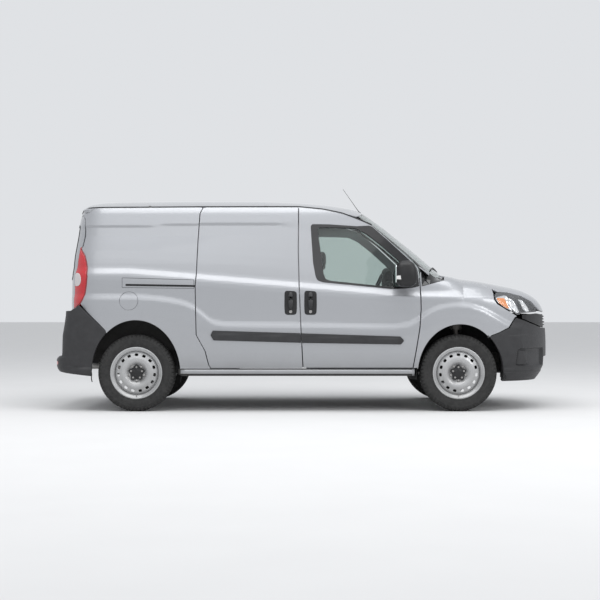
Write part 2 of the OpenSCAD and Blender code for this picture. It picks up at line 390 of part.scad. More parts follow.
// ---------- wheels ----------
module rim() difference() {
  union() {
    rotate_extrude() polygon([[223, 84], [223, 78], [205, 74], [203, 60], [190, 50], [190, -40], [203, -60], [205, -74], [223, -78], [223, -84], [217, -84], [200, -79], [197, -62], [184, -42], [184, 22], [176, 42], [170, 46], [140, 48], [122, 54], [114, 54], [100, 42], [80, 40], [60, 40], [60, 0], [130, 0], [130, -16], [60, -16], [60, -22], [30, -22], [30, 48],
      [78, 48], [98, 52], [112, 63], [122, 63], [140, 57], [172, 54], [178, 50], [186, 32], [186, 50], [196, 62], [199, 76], [217, 84]]);
  }
  for (a = [0:24:359]) rotate([0, 0, a]) translate([157, 0, 30]) cylinder(r = 13.5, h = 40, $fn = 12);
}
module tyre() rotate_extrude() polygon([[206, 73], [206, 66], [222, 64], [262, 82], [296, 78], [310, 66], [316, 30], [316, -30], [310, -66], [296, -78], [262, -82], [222, -64], [206, -66], [206, -73],
  [224, -76.5], [226, -84], [262, -98], [290, -97], [308, -90], [320, -80], [325, -66], [328, -30], [328, 30], [325, 66], [320, 80], [308, 90], [290, 97], [262, 98], [226, 84], [224, 76.5]]);
module at_wheel(x, s) translate([x, s * track_half, tyre_r]) rotate([s < 0 ? 90 : -90, 0, 0]) children();
module rim_front_right() color("#A8A9AB") at_wheel(axle_f, -1) rim();
module rim_front_left() color("#A8A9AB") at_wheel(axle_f, 1) rim();
module rim_rear_right() color("#A8A9AB") at_wheel(axle_r, -1) rim();
module rim_rear_left() color("#A8A9AB") at_wheel(axle_r, 1) rim();
module tyre_front_right() color("#2D2D2D") at_wheel(axle_f, -1) tyre();
module tyre_front_left() color("#2D2D2D") at_wheel(axle_f, 1) tyre();
module tyre_rear_right() color("#2D2D2D") at_wheel(axle_r, -1) tyre();
module tyre_rear_left() color("#2D2D2D") at_wheel(axle_r, 1) tyre();

underbody();
firewall();
pillars();
quarter_panels();
roof_panel();
windscreen();
wings();
front_bumper();
grille();
headlamps();
rear_bumper();
tail_lamps();
sliding_doors();
seats();
dashboard();
engine_block();
front_subframe();
rear_axle();
fuel_tank();
exhaust();
wipers();
antenna();
roof_rack_bosses();
bonnet();
front_door_right();
front_door_left();
door_glass_right();
door_glass_left();
mirror_right();
mirror_left();
rear_door_right();
rear_door_left();
rear_window_right();
rear_window_left();
fuel_flap();
steering_wheel();
knuckle_right();
knuckle_left();
rim_front_right();
rim_front_left();
rim_rear_right();
rim_rear_left();
tyre_front_right();
tyre_front_left();
tyre_rear_right();
tyre_rear_left();
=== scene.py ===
"""Panel van: the looks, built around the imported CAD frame. Lengths in millimetres until a mesh is made."""
import math, json
import bpy, bmesh
import numpy as np
from mathutils import Vector, Matrix, geometry


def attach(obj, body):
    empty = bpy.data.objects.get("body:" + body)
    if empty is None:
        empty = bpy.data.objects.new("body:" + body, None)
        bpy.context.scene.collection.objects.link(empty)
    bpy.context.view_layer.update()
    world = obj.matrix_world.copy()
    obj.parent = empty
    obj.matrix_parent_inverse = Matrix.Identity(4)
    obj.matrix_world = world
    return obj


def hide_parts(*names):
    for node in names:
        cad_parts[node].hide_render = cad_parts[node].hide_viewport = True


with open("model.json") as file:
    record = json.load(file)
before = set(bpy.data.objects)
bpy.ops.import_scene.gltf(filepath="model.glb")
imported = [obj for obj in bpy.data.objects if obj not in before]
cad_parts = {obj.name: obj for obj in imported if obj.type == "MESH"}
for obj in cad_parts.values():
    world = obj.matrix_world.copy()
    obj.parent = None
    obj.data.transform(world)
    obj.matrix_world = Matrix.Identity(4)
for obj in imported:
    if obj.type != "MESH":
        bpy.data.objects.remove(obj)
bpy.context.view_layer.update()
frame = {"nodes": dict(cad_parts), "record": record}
REC = frame["record"]
rng = np.random.default_rng(7)

# ------------------------------------------------------------------ curves of the body
def clamp(a, lo, hi): return np.minimum(hi, np.maximum(lo, a))
def ramp(a, lo, hi): return clamp((np.asarray(a, float) - lo) / (hi - lo), 0, 1)
def sst(t):
    t = clamp(t, 0, 1); return t * t * (3 - 2 * t)

def curve(pts, s):
    """A smooth function through a few design points: linear between them, then rounded over s mm."""
    p = np.array(pts, float); pad = 4 * s + 5
    xs = np.arange(p[0, 0] - pad, p[-1, 0] + pad + 1, 1.0)
    ys = np.interp(xs, p[:, 0], p[:, 1])
    a = (p[1, 1] - p[0, 1]) / (p[1, 0] - p[0, 0]); b = (p[-1, 1] - p[-2, 1]) / (p[-1, 0] - p[-2, 0])
    ys = np.where(xs < p[0, 0], p[0, 1] + (xs - p[0, 0]) * a, ys)
    ys = np.where(xs > p[-1, 0], p[-1, 1] + (xs - p[-1, 0]) * b, ys)
    h = int(3 * s) + 1; k = np.arange(-h, h + 1); g = np.exp(-k * k / (2.0 * s * s)); g /= g.sum()
    yy = np.convolve(np.pad(ys, h, mode="edge"), g, mode="valid")
    yy[:h] = ys[:h]; yy[-h:] = ys[-h:]
    return lambda x: np.interp(x, xs, yy)

proud = curve([[560, 880], [830, 880], [900, 882], [1000, 886], [1045, 884], [1100, 877], [1150, 868], [1200, 859], [1300, 841], [1400, 820], [1500, 796], [1608, 768], [1700, 742], [1735, 727], [1757, 712], [1790, 690]], 9)
pressed = curve([[560, 880], [830, 880], [900, 882], [1000, 886], [1044, 884], [1056, 878], [1098, 854], [1112, 849], [1150, 845], [1200, 839], [1300, 823], [1400, 804], [1500, 784], [1608, 760], [1700, 742], [1735, 727], [1757, 712], [1790, 690]], 7)
under = curve([[150, 130], [240, 96], [290, 74], [322, 52], [334, 44], [348, 40], [360, 40], [369, 45], [420, 30], [500, 16], [600, 4], [650, 0], [700, 0], [2000, 0]], 4)
crease_z = curve([[-2100, 770], [-1960, 815], [-1880, 860], [-1791, 910], [-1690, 965], [-1590, 993], [-1480, 1000], [-1350, 994], [-1200, 978], [-1060, 952], [-956, 915], [-870, 840], [-800, 785], [-720, 768], [0, 757], [760, 747], [880, 765], [960, 812], [1040, 872], [1140, 914], [1280, 934], [1400, 924], [1515, 888], [1620, 832], [1704, 780], [1790, 752], [2100, 748]], 26)
turn_z = curve([[-2100, 640], [-1800, 680], [-1685, 756], [-1550, 818], [-1400, 838], [-1300, 832], [-1180, 806], [-1047, 752], [-930, 690], [-820, 656], [-700, 650], [820, 645], [949, 652], [1020, 700], [1091, 750], [1180, 786], [1280, 802], [1400, 788], [1515, 732], [1610, 672], [1700, 655], [2100, 650]], 22)
nose_profile = curve([[150, 2010], [200, 2040], [300, 2098], [340, 2125], [400, 2155], [450, 2168], [500, 2172], [560, 2171], [620, 2165], [700, 2155], [850, 2120]], 10)
tail_profile = curve([[200, -2058], [740, -2058], [820, -2058], [1000, -2058], [1200, -2053], [1330, -2043], [1470, -2021], [1563, -2008], [1628, -1998], [1712, -1980], [1757, -1960], [1850, -1920]], 20)
bumper_profile = curve([[230, -2020], [262, -2062], [300, -2110], [340, -2150], [366, -2166], [390, -2171], [440, -2171], [455, -2163], [466, -2146], [500, -2140], [650, -2128], [740, -2108], [820, -2094], [950, -2086]], 5)
roof_line = curve([[-2030, 1630], [-2000, 1700], [-1978, 1752], [-1950, 1788], [-1900, 1813], [-1800, 1827], [-1650, 1833], [-1200, 1840], [-450, 1840], [-250, 1834], [-50, 1825], [100, 1814], [220, 1803], [300, 1792], [380, 1778], [440, 1765], [500, 1745], [560, 1708], [610, 1672], [720, 1592], [830, 1502], [940, 1416], [1050, 1324], [1160, 1230], [1240, 1162], [1300, 1110]], 13)
bonnet_line = curve([[960, 1190], [1100, 1178], [1250, 1160], [1330, 1144], [1400, 1134], [1500, 1121], [1600, 1105], [1700, 1087], [1800, 1069], [1880, 1050], [1935, 1031], [1990, 1004], [2040, 972], [2075, 938], [2100, 902], [2122, 850], [2141, 780], [2155, 700], [2172, 600]], 9)
gutter_z = lambda x: np.interp(x, [-1990, -1940, -1875, -900, -60, 150, 310, 454, 566, 700], [1690, 1735, 1752, 1759, 1760, 1738, 1704, 1650, 1600, 1490])

XF, NF, XR, NR, NB, Z0 = 1117.0, 3.0, -1500.0, 5.0, 8.0, 700.0

def press_mask(x, z):
    """1 inside the long pressing of the load-space side, 0 on the frame around it."""
    left = np.interp(z, [1120, 1170, 1200, 1235, 1270, 1320, 1379, 1460, 1528, 1560, 1620], [-1440, -1510, -1565, -1625, -1668, -1702, -1726, -1745, -1752, -1752, -1752])
    m = sst((x - left + 8) / 26.0)
    topz = np.interp(x, [-1760, -1735, -1700, -1650, -1580, -895, -136, 200], [1500, 1534, 1558, 1573, 1582, 1604, 1605, 1605])
    w = 15 + 150 * ramp(x, -260, 20)
    return m * sst((topz + w * 0.5 - z) / w)

def half(x, z):
    x = np.asarray(x, float); z = np.asarray(z, float)
    bw = ramp(z, 830, 1000) * (1 - ramp(z, 1260, 1500))
    zz = z + 0.083 * clamp(x, -1600, 900) * bw
    m = press_mask(x, z)
    y = proud(zz) * (1 - m) + pressed(zz) * m
    zc = crease_z(x); zi = turn_z(x)
    y = y + 18 * sst((zc + 10 - z) / 58.0)
    zu = np.where(z < zi, 369 + (z - 369) * (650 - 369) / (zi - 369), z + 0 * zi)
    zu = np.where(z < 369, z, np.where(z < zi, zu, 700))
    return y - under(zu)

def mexp(x): return 14 - 8.5 * ramp(x, 1000, 1350) - 1.1 * ramp(x, 1500, 1750)
def plan(x, z):
    x = np.asarray(x, float)
    nz = nose_profile(np.minimum(z, Z0)); tz = tail_profile(z)
    f = np.power(np.maximum(0, 1 - np.power(np.maximum(0, (x - XF) / (nz - XF)), NF)), 1 / NF)
    r = np.power(np.maximum(0, 1 - np.power(np.maximum(0, (XR - x) / (XR - tz)), NR)), 1 / NR)
    return np.where(x > XF, f, np.where(x < XR, r, 1.0))
def shut(x, z):
    m = mexp(x); H = bonnet_line(x) - Z0
    t = np.where(H > 1, (z - Z0) / np.maximum(H, 1), 2.0)
    s = np.where(t >= 1, 0.0, np.power(np.maximum(0, 1 - np.power(clamp(t, 0, 1), m)), 1 / m))
    return np.where((x < 1000) | (z <= Z0), 1.0, s)
def ys(x, z): return half(x, z) * plan(x, z) * shut(x, z)
def crown(x): return 83 - 8 * ramp(x, 0, 450) - 35 * ramp(x, 450, 750)
def top(x, y): return roof_line(x + 1.8e-4 * ramp(x, -100, 500) * y * y) - crown(x) * np.power(np.abs(y) / 712.0, 2.6)
def hood(x, y):
    m = mexp(x); H = bonnet_line(x) - Z0; z = Z0 + 0.8 * H
    for _ in range(14):
        t = np.minimum(0.99995, np.abs(y) / np.maximum(1, half(x, z) * plan(x, Z0)))
        z = 0.4 * z + 0.6 * (Z0 + H * np.power(1 - np.power(t, m), 1 / m))
    return z

# surfaces as maps from a flat sheet (u, v) in mm to the body; right-hand side
def S_side(u, v): return np.stack([u, -ys(u, v), v], -1)
KT = 15.0
def tail_pt(t, z, prof=tail_profile, extra=0.0, n=NR):
    A = XR - prof(z); B = half(-1500 + 0 * z, z) + extra; c = np.abs(np.cos(t)) / A; s = np.abs(np.sin(t)) / B
    r = 1 / np.power(np.power(c, n) + np.power(s, n), 1 / n)
    return np.stack([XR - r * np.cos(t), -r * np.sin(t), z], -1)
def S_quarter(u, v):
    a = np.stack([XR + np.maximum(u, 0), -half(XR + np.maximum(u, 0), v), v], -1)
    b = tail_pt(np.radians(90 + np.minimum(u, 0) / KT), v)
    return np.where((u >= 0)[..., None], a, b)
def q_from_x(x, z):
    if x >= XR: return x - XR
    A = XR - float(tail_profile(z)); B = float(half(-1500, z)); q = min(0.99999, (XR - x) / A)
    return -(90 - math.degrees(math.atan2(B * (1 - q ** NR) ** (1 / NR), XR - x))) * KT
def q_from_y(y, z, prof=tail_profile):
    A = XR - float(prof(z)); B = float(half(-1500, z)); q = min(0.99999, abs(y) / B)
    return -(90 - math.degrees(math.atan2(abs(y), A * (1 - q ** NR) ** (1 / NR)))) * KT
def S_tail(u, v): return tail_pt(np.radians(u / KT), v)
def tail_u(y, z):
    """sheet coordinate on the rear face of the point with this y (right side negative y gives positive u)"""
    q = 90 * KT + q_from_y(y, z); return q if y < 0 else -q
def S_bump(u, v): return tail_pt(np.radians(u / KT), v, bumper_profile, 3.0, NB)
KN = 18.0
def nose_r(t, z):
    lo = np.zeros_like(z); hi = np.full_like(z, 1070.0); ct, st = np.cos(t), np.abs(np.sin(t))
    for _ in range(30):
        r = (lo + hi) / 2; x = XF + r * ct
        ins = (z < bonnet_line(x)) & (r * st < ys(x, z) + 1e-9)
        ins = np.where(st < 1e-6, (z < bonnet_line(x)) & (x < nose_profile(np.minimum(z, Z0)) + np.where(z > Z0, 1e4, 0)), ins)
        lo = np.where(ins, r, lo); hi = np.where(ins, hi, r)
    return (lo + hi) / 2
def S_nose(u, v):
    t = np.radians(u / KN); r = nose_r(t, v)
    return np.stack([XF + r * np.cos(t), -r * np.sin(t), v], -1)
def nose_u(x, z):
    return math.degrees(math.atan2(float(ys(np.array(x), np.array(z))), x - XF)) * KN
def S_roof(u, v): return np.stack([u, v, top(u, v)], -1)
def S_hood(u, v): return np.stack([u, v, hood(u, v)], -1)

# wing: sheet (x, arc length up the section)
_wx = np.arange(900, 1881, 10.0); _ww = np.arange(0, 1261, 6.0)
def _wing_table():
    TY = np.zeros((len(_wx), len(_ww))); TZ = np.zeros_like(TY)
    for i, x in enumerate(_wx):
        H = float(bonnet_line(x)) - Z0
        q = np.linspace(0, 1, 500); z = np.concatenate([np.arange(365, Z0, 4.0), Z0 + H * (1 - (1 - q) ** 2.5) * 0.9995])
        y = ys(np.full_like(z, x), z); L = np.concatenate([[0], np.cumsum(np.hypot(np.diff(y), np.diff(z)))])
        TY[i] = np.interp(_ww, L, y); TZ[i] = np.interp(_ww, L, z)
    return TY, TZ
TY, TZ = _wing_table()
def _bil(T, x, w):
    a = clamp((x - _wx[0]) / 10.0, 0, len(_wx) - 1.001); b = clamp((w - _ww[0]) / 6.0, 0, len(_ww) - 1.001)
    i = a.astype(int); j = b.astype(int); fa = a - i; fb = b - j
    return (T[i, j] * (1 - fa) + T[i + 1, j] * fa) * (1 - fb) + (T[i, j + 1] * (1 - fa) + T[i + 1, j + 1] * fa) * fb
def S_wing(u, v): return np.stack([u, -_bil(TY, u, v), _bil(TZ, u, v)], -1)
def wing_w(x, z=None, y=None):
    xx = np.full_like(_ww, x); 
    if z is not None: return float(np.interp(z, _bil(TZ, xx, _ww), _ww))
    Y = _bil(TY, xx, _ww); k = np.argmax(Y[::-1] >= y); j = len(Y) - 1 - k
    if j >= len(Y) - 1: return float(_ww[-1])
    return float(_ww[j] + (Y[j] - y) / max(1e-6, Y[j] - Y[j + 1]) * 6.0)

# ------------------------------------------------------------------ outlines
def rounded(pts, r, n=6):
    """polygon with its corners rounded; r is one radius or one per corner"""
    P = [np.array(p, float) for p in pts]; out = []; N = len(P)
    rr = [r] * N if np.isscalar(r) else list(r)
    for i in range(N):
        a, b, c = P[i - 1], P[i], P[(i + 1) % N]; u = a - b; w = c - b; lu, lw = np.linalg.norm(u), np.linalg.norm(w)
        if rr[i] <= 0 or lu < 1e-6 or lw < 1e-6: out.append(b); continue
        d = min(rr[i], lu * 0.48, lw * 0.48); p, q = b + u / lu * d, b + w / lw * d
        for k in range(n + 1):
            t = k / n; out.append((1 - t) ** 2 * p + 2 * t * (1 - t) * b + t * t * q)
    return np.array(out)
def resample(P, step, closed=True):
    P = np.array(P, float); Q = np.vstack([P, P[:1]]) if closed else P
    keep = [Q[0]]
    for q in Q[1:]:
        if np.linalg.norm(q - keep[-1]) > 1e-6: keep.append(q)
    Q = np.array(keep); out = []
    for a, b in zip(Q[:-1], Q[1:]):
        n = max(1, int(round(np.linalg.norm(b - a) / step)))
        for k in range(n): out.append(a + (b - a) * k / n)
    if not closed: out.append(Q[-1])
    return np.array(out)
def area2(P): x, y = P[:, 0], P[:, 1]; return 0.5 * np.sum(x * np.roll(y, -1) - np.roll(x, -1) * y)
def inside(P, X, Y):
    r = np.zeros(X.shape, bool); n = len(P)
    for i in range(n):
        x1, y1 = P[i]; x2, y2 = P[(i + 1) % n]
        if y1 == y2: continue
        c = ((y1 > Y) != (y2 > Y)) & (X < (x2 - x1) * (Y - y1) / (y2 - y1) + x1); r ^= c
    return r
def seg_dist(P, X, Y):
    d = np.full(X.shape, 1e9); n = len(P)
    for i in range(n):
        a = P[i]; b = P[(i + 1) % n]; ab = b - a; L = max(1e-9, ab @ ab)
        t = clamp(((X - a[0]) * ab[0] + (Y - a[1]) * ab[1]) / L, 0, 1)
        d = np.minimum(d, np.hypot(X - a[0] - t * ab[0], Y - a[1] - t * ab[1]))
    return d
def mapped(pts, f, step=12.0):
    """closed outline in side view (x, z) sent to the sheet by f(x, z)"""
    return np.array([f(x, z) for x, z in resample(pts, step)])

# ------------------------------------------------------------------ meshes
def make(name, V, F, mat, body=None, N=None, replaces=(), slot=None, sharp=None):
    me = bpy.data.meshes.new(name)
    me.from_pydata((np.asarray(V, float) / 1000.0).tolist(), [], [list(map(int, f)) for f in F])
    me.update()
    for m in (mat if isinstance(mat, (list, tuple)) else [mat]): me.materials.append(m)
    me.polygons.foreach_set("use_smooth", [True] * len(me.polygons))
    if N is not None:
        N = np.asarray(N, float); N = N / np.maximum(1e-9, np.linalg.norm(N, axis=1))[:, None]
        me.normals_split_custom_set_from_vertices(N.tolist())
    elif sharp: me.set_sharp_from_angle(angle=math.radians(sharp))
    o = bpy.data.objects.new(name, me); bpy.context.scene.collection.objects.link(o)
    if body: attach(o, body)
    for n in replaces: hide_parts(n)
    return o
def flip(V, F, N=None):
    V = np.array(V, float); V[:, 1] *= -1
    if N is not None: N = np.array(N, float); N[:, 1] *= -1
    return V, [list(f)[::-1] for f in F], N

def sheet_mesh(S, outline, holes=(), step=20.0, thick=3.0, lift=0.0, roll=2.5, edge=8.0, inner=True, outward=(0, -1, 0), depth=None):
    """A panel: outer skin on surface S inside the outline, edges rolled over, and an inner skin `thick` behind it."""
    loops = []
    for k, L in enumerate([outline] + list(holes)):
        L = resample(L, edge); a = area2(L)
        if (a < 0) == (k == 0): L = L[::-1]
        loops.append(L)
    lo = loops[0].min(0); hi = loops[0].max(0)
    gx = np.arange(lo[0] + step * 0.5, hi[0], step); gy = np.arange(lo[1] + step * 0.5, hi[1], step)
    X, Y = np.meshgrid(gx, gy); X = X + (np.arange(len(gy)) % 2)[:, None] * step * 0.5; X, Y = X.ravel(), Y.ravel()
    ok = inside(loops[0], X, Y)
    for L in loops[1:]: ok &= ~inside(L, X, Y)
    X, Y = X[ok], Y[ok]; d = np.full(X.shape, 1e9)
    for L in loops: d = np.minimum(d, seg_dist(L, X, Y))
    X, Y = X[d > step * 0.42], Y[d > step * 0.42]
    pts = []; edges = []
    for L in loops:
        n0 = len(pts); pts += [Vector((float(a), float(b))) for a, b in L]; edges += [(n0 + i, n0 + (i + 1) % len(L)) for i in range(len(L))]
    nb = len(pts); pts += [Vector((float(a), float(b))) for a, b in zip(X, Y)]
    v, e, f, ov, oe, of_ = geometry.delaunay_2d_cdt(pts, edges, [], 0, 1e-4)
    back = {}
    for i, o in enumerate(ov):
        for k in o: back[k] = i
    P2 = np.array([[p.x, p.y] for p in v]); F = np.array([list(t) for t in f]); C = P2[F].mean(1)
    keep = inside(loops[0], C[:, 0], C[:, 1])
    for L in loops[1:]: keep &= ~inside(L, C[:, 0], C[:, 1])
    F = F[keep]
    h = 1.5
    P = S(P2[:, 0], P2[:, 1]); du = (S(P2[:, 0] + h, P2[:, 1]) - S(P2[:, 0] - h, P2[:, 1])); dv = (S(P2[:, 0], P2[:, 1] + h) - S(P2[:, 0], P2[:, 1] - h))
    du /= np.maximum(1e-9, np.linalg.norm(du, axis=1))[:, None]; dv /= np.maximum(1e-9, np.linalg.norm(dv, axis=1))[:, None]
    Nn = np.cross(du, dv); Nn /= np.maximum(1e-9, np.linalg.norm(Nn, axis=1))[:, None]
    sgn = np.sign((Nn * np.array(outward)).sum(1).mean()) or 1.0
    Nn = Nn * sgn
    a, b, c = P[F[:, 0]], P[F[:, 1]], P[F[:, 2]]
    if (np.cross(b - a, c - a) * Nn[F[:, 0]]).sum() < 0: F = F[:, ::-1]
    P = P + Nn * lift
    V = [P]; NN = [Nn]; FF = F.tolist(); n = len(P); start = 0
    rings = []
    for L in loops:
        idx = [back[start + i] for i in range(len(L))]; start += len(L)
        rings.append(idx)
    base = n
    inner_v = base
    if inner:
        V.append(P - Nn * thick); NN.append(-Nn); FF += [[n + t[2], n + t[1], n + t[0]] for t in F.tolist()]; base += n
    for idx in rings:
        q = P[idx]; nn = Nn[idx]; tan = np.roll(q, -1, 0) - np.roll(q, 1, 0); tan /= np.maximum(1e-9, np.linalg.norm(tan, axis=1))[:, None]
        out = np.cross(tan, nn)
        # outward is away from the kept faces: the loops run anticlockwise on the sheet
        cen = (S(P2[idx, 0] , P2[idx, 1]))
        tst = _outtest(S, P2[idx], loops, h)
        out *= np.sign((out * tst).sum(1))[:, None] * 1.0
        prev = idx; m = len(idx)
        for k in (1, 2, 3):
            ang = k * math.pi / 6; ring = q + out * roll * math.sin(ang) - nn * roll * (1 - math.cos(ang))
            V.append(ring); NN.append(nn * math.cos(ang) + out * math.sin(ang)); cur = list(range(base, base + m)); base += m
            FF += _strip(prev, cur, V, np.vstack(V), out); prev = cur
        if inner:
            ring = q + out * roll - nn * (thick - 0.2); V.append(ring); NN.append(out); cur = list(range(base, base + m)); base += m
            FF += _strip(prev, cur, V, np.vstack(V), out)
            FF += _strip(cur, [inner_v + i for i in idx], V, np.vstack(V), -nn)
        elif depth:
            ring = q + out * roll - nn * depth; V.append(ring); NN.append(out); cur = list(range(base, base + m)); base += m
            FF += _strip(prev, cur, V, np.vstack(V), out)
    return np.vstack(V), FF, np.vstack(NN)
def _outtest(S, uv, loops, h):
    t = np.roll(uv, -1, 0) - np.roll(uv, 1, 0); nrm = np.stack([t[:, 1], -t[:, 0]], -1); nrm /= np.maximum(1e-9, np.linalg.norm(nrm, axis=1))[:, None]
    a = uv + nrm * 2
    return S(a[:, 0], a[:, 1]) - S(uv[:, 0], uv[:, 1])
def _strip(a, b, V, P, out):
    m = len(a); F = []
    for i in range(m):
        j = (i + 1) % m; f = [a[i], a[j], b[j], b[i]]
        F.append(f)
    p = [P[k] for k in F[0]]; nrm = sum((np.cross(P[f[1]] - P[f[0]], P[f[2]] - P[f[0]]) @ out[i % len(out)]) for i, f in enumerate(F[:m]))
    return F if nrm >= 0 else [f[::-1] for f in F]

def lathe(prof, n=96, axis_c=(0, 0, 0), side=-1, close=False):
    """profile [(radius, outward offset)] turned about the wheel axis (Y); side -1 faces right"""
    P = np.array(prof, float); a = np.linspace(0, 2 * math.pi, n, endpoint=False)
    V = np.stack([np.outer(np.cos(a), P[:, 0]), np.tile(P[:, 1] * side, (n, 1)), np.outer(np.sin(a), P[:, 0])], -1).reshape(-1, 3) + np.array(axis_c)
    m = len(P); F = []
    for i in range(n):
        j = (i + 1) % n
        for k in range(m - 1 if not close else m):
            l = (k + 1) % m; f = [i * m + k, i * m + l, j * m + l, j * m + k]
            F.append(f if side < 0 else f[::-1])
    return V, F
def join(*parts):
    V = []; F = []; n = 0
    for v, f in parts:
        V.append(np.asarray(v, float)); F += [[i + n for i in g] for g in f]; n += len(v)
    return np.vstack(V), F
def tube(path, r, n=12, caps=True, squash=1.0):
    P = np.array(path, float); m = len(P); R = np.full(m, r, float) if np.isscalar(r) else np.array(r, float); V = []; up = np.array([0, 0, 1.0])
    T = np.gradient(P, axis=0); T /= np.linalg.norm(T, axis=1)[:, None]
    if abs(T[0] @ up) > 0.9: up = np.array([1.0, 0, 0])
    for i in range(m):
        a = np.cross(T[i], up); a /= np.linalg.norm(a); b = np.cross(a, T[i])
        for k in range(n):
            t = 2 * math.pi * k / n; V.append(P[i] + R[i] * (a * math.cos(t) + b * math.sin(t) * squash))
    F = [[i * n + k, i * n + (k + 1) % n, (i + 1) * n + (k + 1) % n, (i + 1) * n + k] for i in range(m - 1) for k in range(n)]
    if caps: F += [list(range(n))[::-1], [(m - 1) * n + k for k in range(n)]]
    return np.array(V), F
def block(lo, hi, r=4.0, seg=3):
    """a box with rounded edges"""
    bm = bmesh.new(); bmesh.ops.create_cube(bm, size=1.0)
    lo, hi = np.array(lo, float), np.array(hi, float)
    for v in bm.verts: v.co = Vector([(lo[i] + hi[i]) / 2 + v.co[i] * (hi[i] - lo[i]) for i in range(3)])
    bmesh.ops.bevel(bm, geom=list(bm.edges), offset=min(r, 0.45 * min(hi - lo)), segments=seg, profile=0.5, affect="EDGES")
    V = [tuple(v.co) for v in bm.verts]; F = [[v.index for v in f.verts] for f in bm.faces]; bm.free(); return np.array(V), F
def grid_mesh(G, closed_u=False):
    G = np.asarray(G, float); a, b = G.shape[:2]; V = G.reshape(-1, 3)
    F = [[i * b + j, ((i + 1) % a) * b + j, ((i + 1) % a) * b + j + 1, i * b + j + 1] for i in range(a if closed_u else a - 1) for j in range(b - 1)]
    return V, F
def loft(sections, caps=True):
    """closed rings of equal length joined in order"""
    n = len(sections[0]); V = np.vstack(sections); m = len(sections)
    F = [[i * n + k, (i + 1) * n + k, (i + 1) * n + (k + 1) % n, i * n + (k + 1) % n] for i in range(m - 1) for k in range(n)]
    if caps: F += [list(range(n)), [(m - 1) * n + k for k in range(n)][::-1]]
    return V, F
def fix_normals(o):
    bm = bmesh.new(); bm.from_mesh(o.data); bmesh.ops.recalc_face_normals(bm, faces=bm.faces); bm.to_mesh(o.data); bm.free(); return o

# ------------------------------------------------------------------ materials
def srgb(r, g, b):
    f = lambda c: (c / 255 / 12.92) if c / 255 <= 0.04045 else ((c / 255 + 0.055) / 1.055) ** 2.4
    return (f(r), f(g), f(b), 1.0)
class Mat:
    def __init__(s, name, **sock):
        s.m = bpy.data.materials.new(name); s.m.use_nodes = True; s.t = s.m.node_tree; s.n = s.t.nodes; s.l = s.t.links
        s.b = s.n["Principled BSDF"]; s.o = s.n["Material Output"]; s.co = s.n.new("ShaderNodeTexCoord").outputs["Object"]
        for k, v in sock.items(): s.b.inputs[k.replace("_", " ")].default_value = v
    def noise(s, scale, detail=3.0, rough=0.5, coord=None):
        t = s.n.new("ShaderNodeTexNoise"); t.inputs["Scale"].default_value = scale; t.inputs["Detail"].default_value = detail; t.inputs["Roughness"].default_value = rough
        s.l.new(coord or s.co, t.inputs["Vector"]); return t.outputs["Fac"]
    def voronoi(s, scale, out="Distance", coord=None):
        t = s.n.new("ShaderNodeTexVoronoi"); t.inputs["Scale"].default_value = scale; s.l.new(coord or s.co, t.inputs["Vector"]); return t.outputs[out]
    def scaled(s, v):
        t = s.n.new("ShaderNodeMapping"); t.inputs["Scale"].default_value = v; s.l.new(s.co, t.inputs["Vector"]); return t.outputs["Vector"]
    def ramp(s, fac, stops):
        t = s.n.new("ShaderNodeValToRGB"); e = t.color_ramp.elements
        while len(e) < len(stops): e.new(0.5)
        for k, (p, c) in enumerate(stops): e[k].position = p; e[k].color = c if len(c) == 4 else tuple(c) + (1.0,)
        s.l.new(fac, t.inputs["Fac"]); return t.outputs["Color"]
    def grey(s, fac, a, b, lo=0.3, hi=0.7): return s.ramp(fac, [(lo, (a, a, a)), (hi, (b, b, b))])
    def math(s, op, a, b):
        t = s.n.new("ShaderNodeMath"); t.operation = op
        for i, v in enumerate((a, b)):
            if isinstance(v, (int, float)): t.inputs[i].default_value = v
            else: s.l.new(v, t.inputs[i])
        return t.outputs[0]
    def z(s):
        t = s.n.new("ShaderNodeSeparateXYZ"); s.l.new(s.co, t.inputs[0]); return t.outputs["Z"]
    def mix(s, fac, a, b):
        t = s.n.new("ShaderNodeMix"); t.data_type = "RGBA"
        for i, v in ((0, fac), (6, a), (7, b)):
            if hasattr(v, "default_value"): s.l.new(v, t.inputs[i])
            else: t.inputs[i].default_value = v
        return t.outputs[2]
    def bump(s, h, strength=0.2, dist=0.001, to="Normal"):
        t = s.n.new("ShaderNodeBump"); t.inputs["Strength"].default_value = strength; t.inputs["Distance"].default_value = dist
        s.l.new(h, t.inputs["Height"]); s.l.new(t.outputs["Normal"], s.b.inputs[to]); return t
    def set(s, name, v): s.l.new(v, s.b.inputs[name]); return s

def paint_mat(name, col, metallic=0.75, rough=0.36):
    m = Mat(name, Metallic=metallic, Coat_Weight=0.9, Coat_Roughness=0.035, Coat_IOR=1.5)
    flake = m.voronoi(2600.0, "Color"); f = m.ramp(flake, [(0.2, [c * 0.90 for c in col]), (0.8, [min(1, c * 1.10) for c in col])])
    # painted shade: the height ramp darkens the paint and raises its roughness towards the bottom of the body and the
    # wheels; the noise on top of it is random dust mottling
    dust_and_low_shade = m.math("MULTIPLY", m.grey(m.noise(6.0, 5.0, 0.55), 0.55, 0.85, 0.3, 0.75), m.ramp(m.z(), [(0.30, (0.5, 0.5, 0.5)), (0.50, (0.12, 0.12, 0.12)), (0.85, (0, 0, 0))]))
    m.set("Base Color", m.mix(dust_and_low_shade, f, (0.16, 0.155, 0.15, 1))); m.set("Roughness", m.math("ADD", m.math("MULTIPLY", dust_and_low_shade, 0.22), m.grey(m.noise(35.0, 4.0), rough - 0.03, rough + 0.04)))
    m.bump(m.noise(420.0, 2.0), 0.03, 0.0003, "Coat Normal"); return m.m
PAINT = paint_mat("silver_paint", (0.385, 0.395, 0.415), 0.55, 0.40)
RIMP = paint_mat("wheel_silver", (0.50, 0.505, 0.51), 0.55, 0.40)
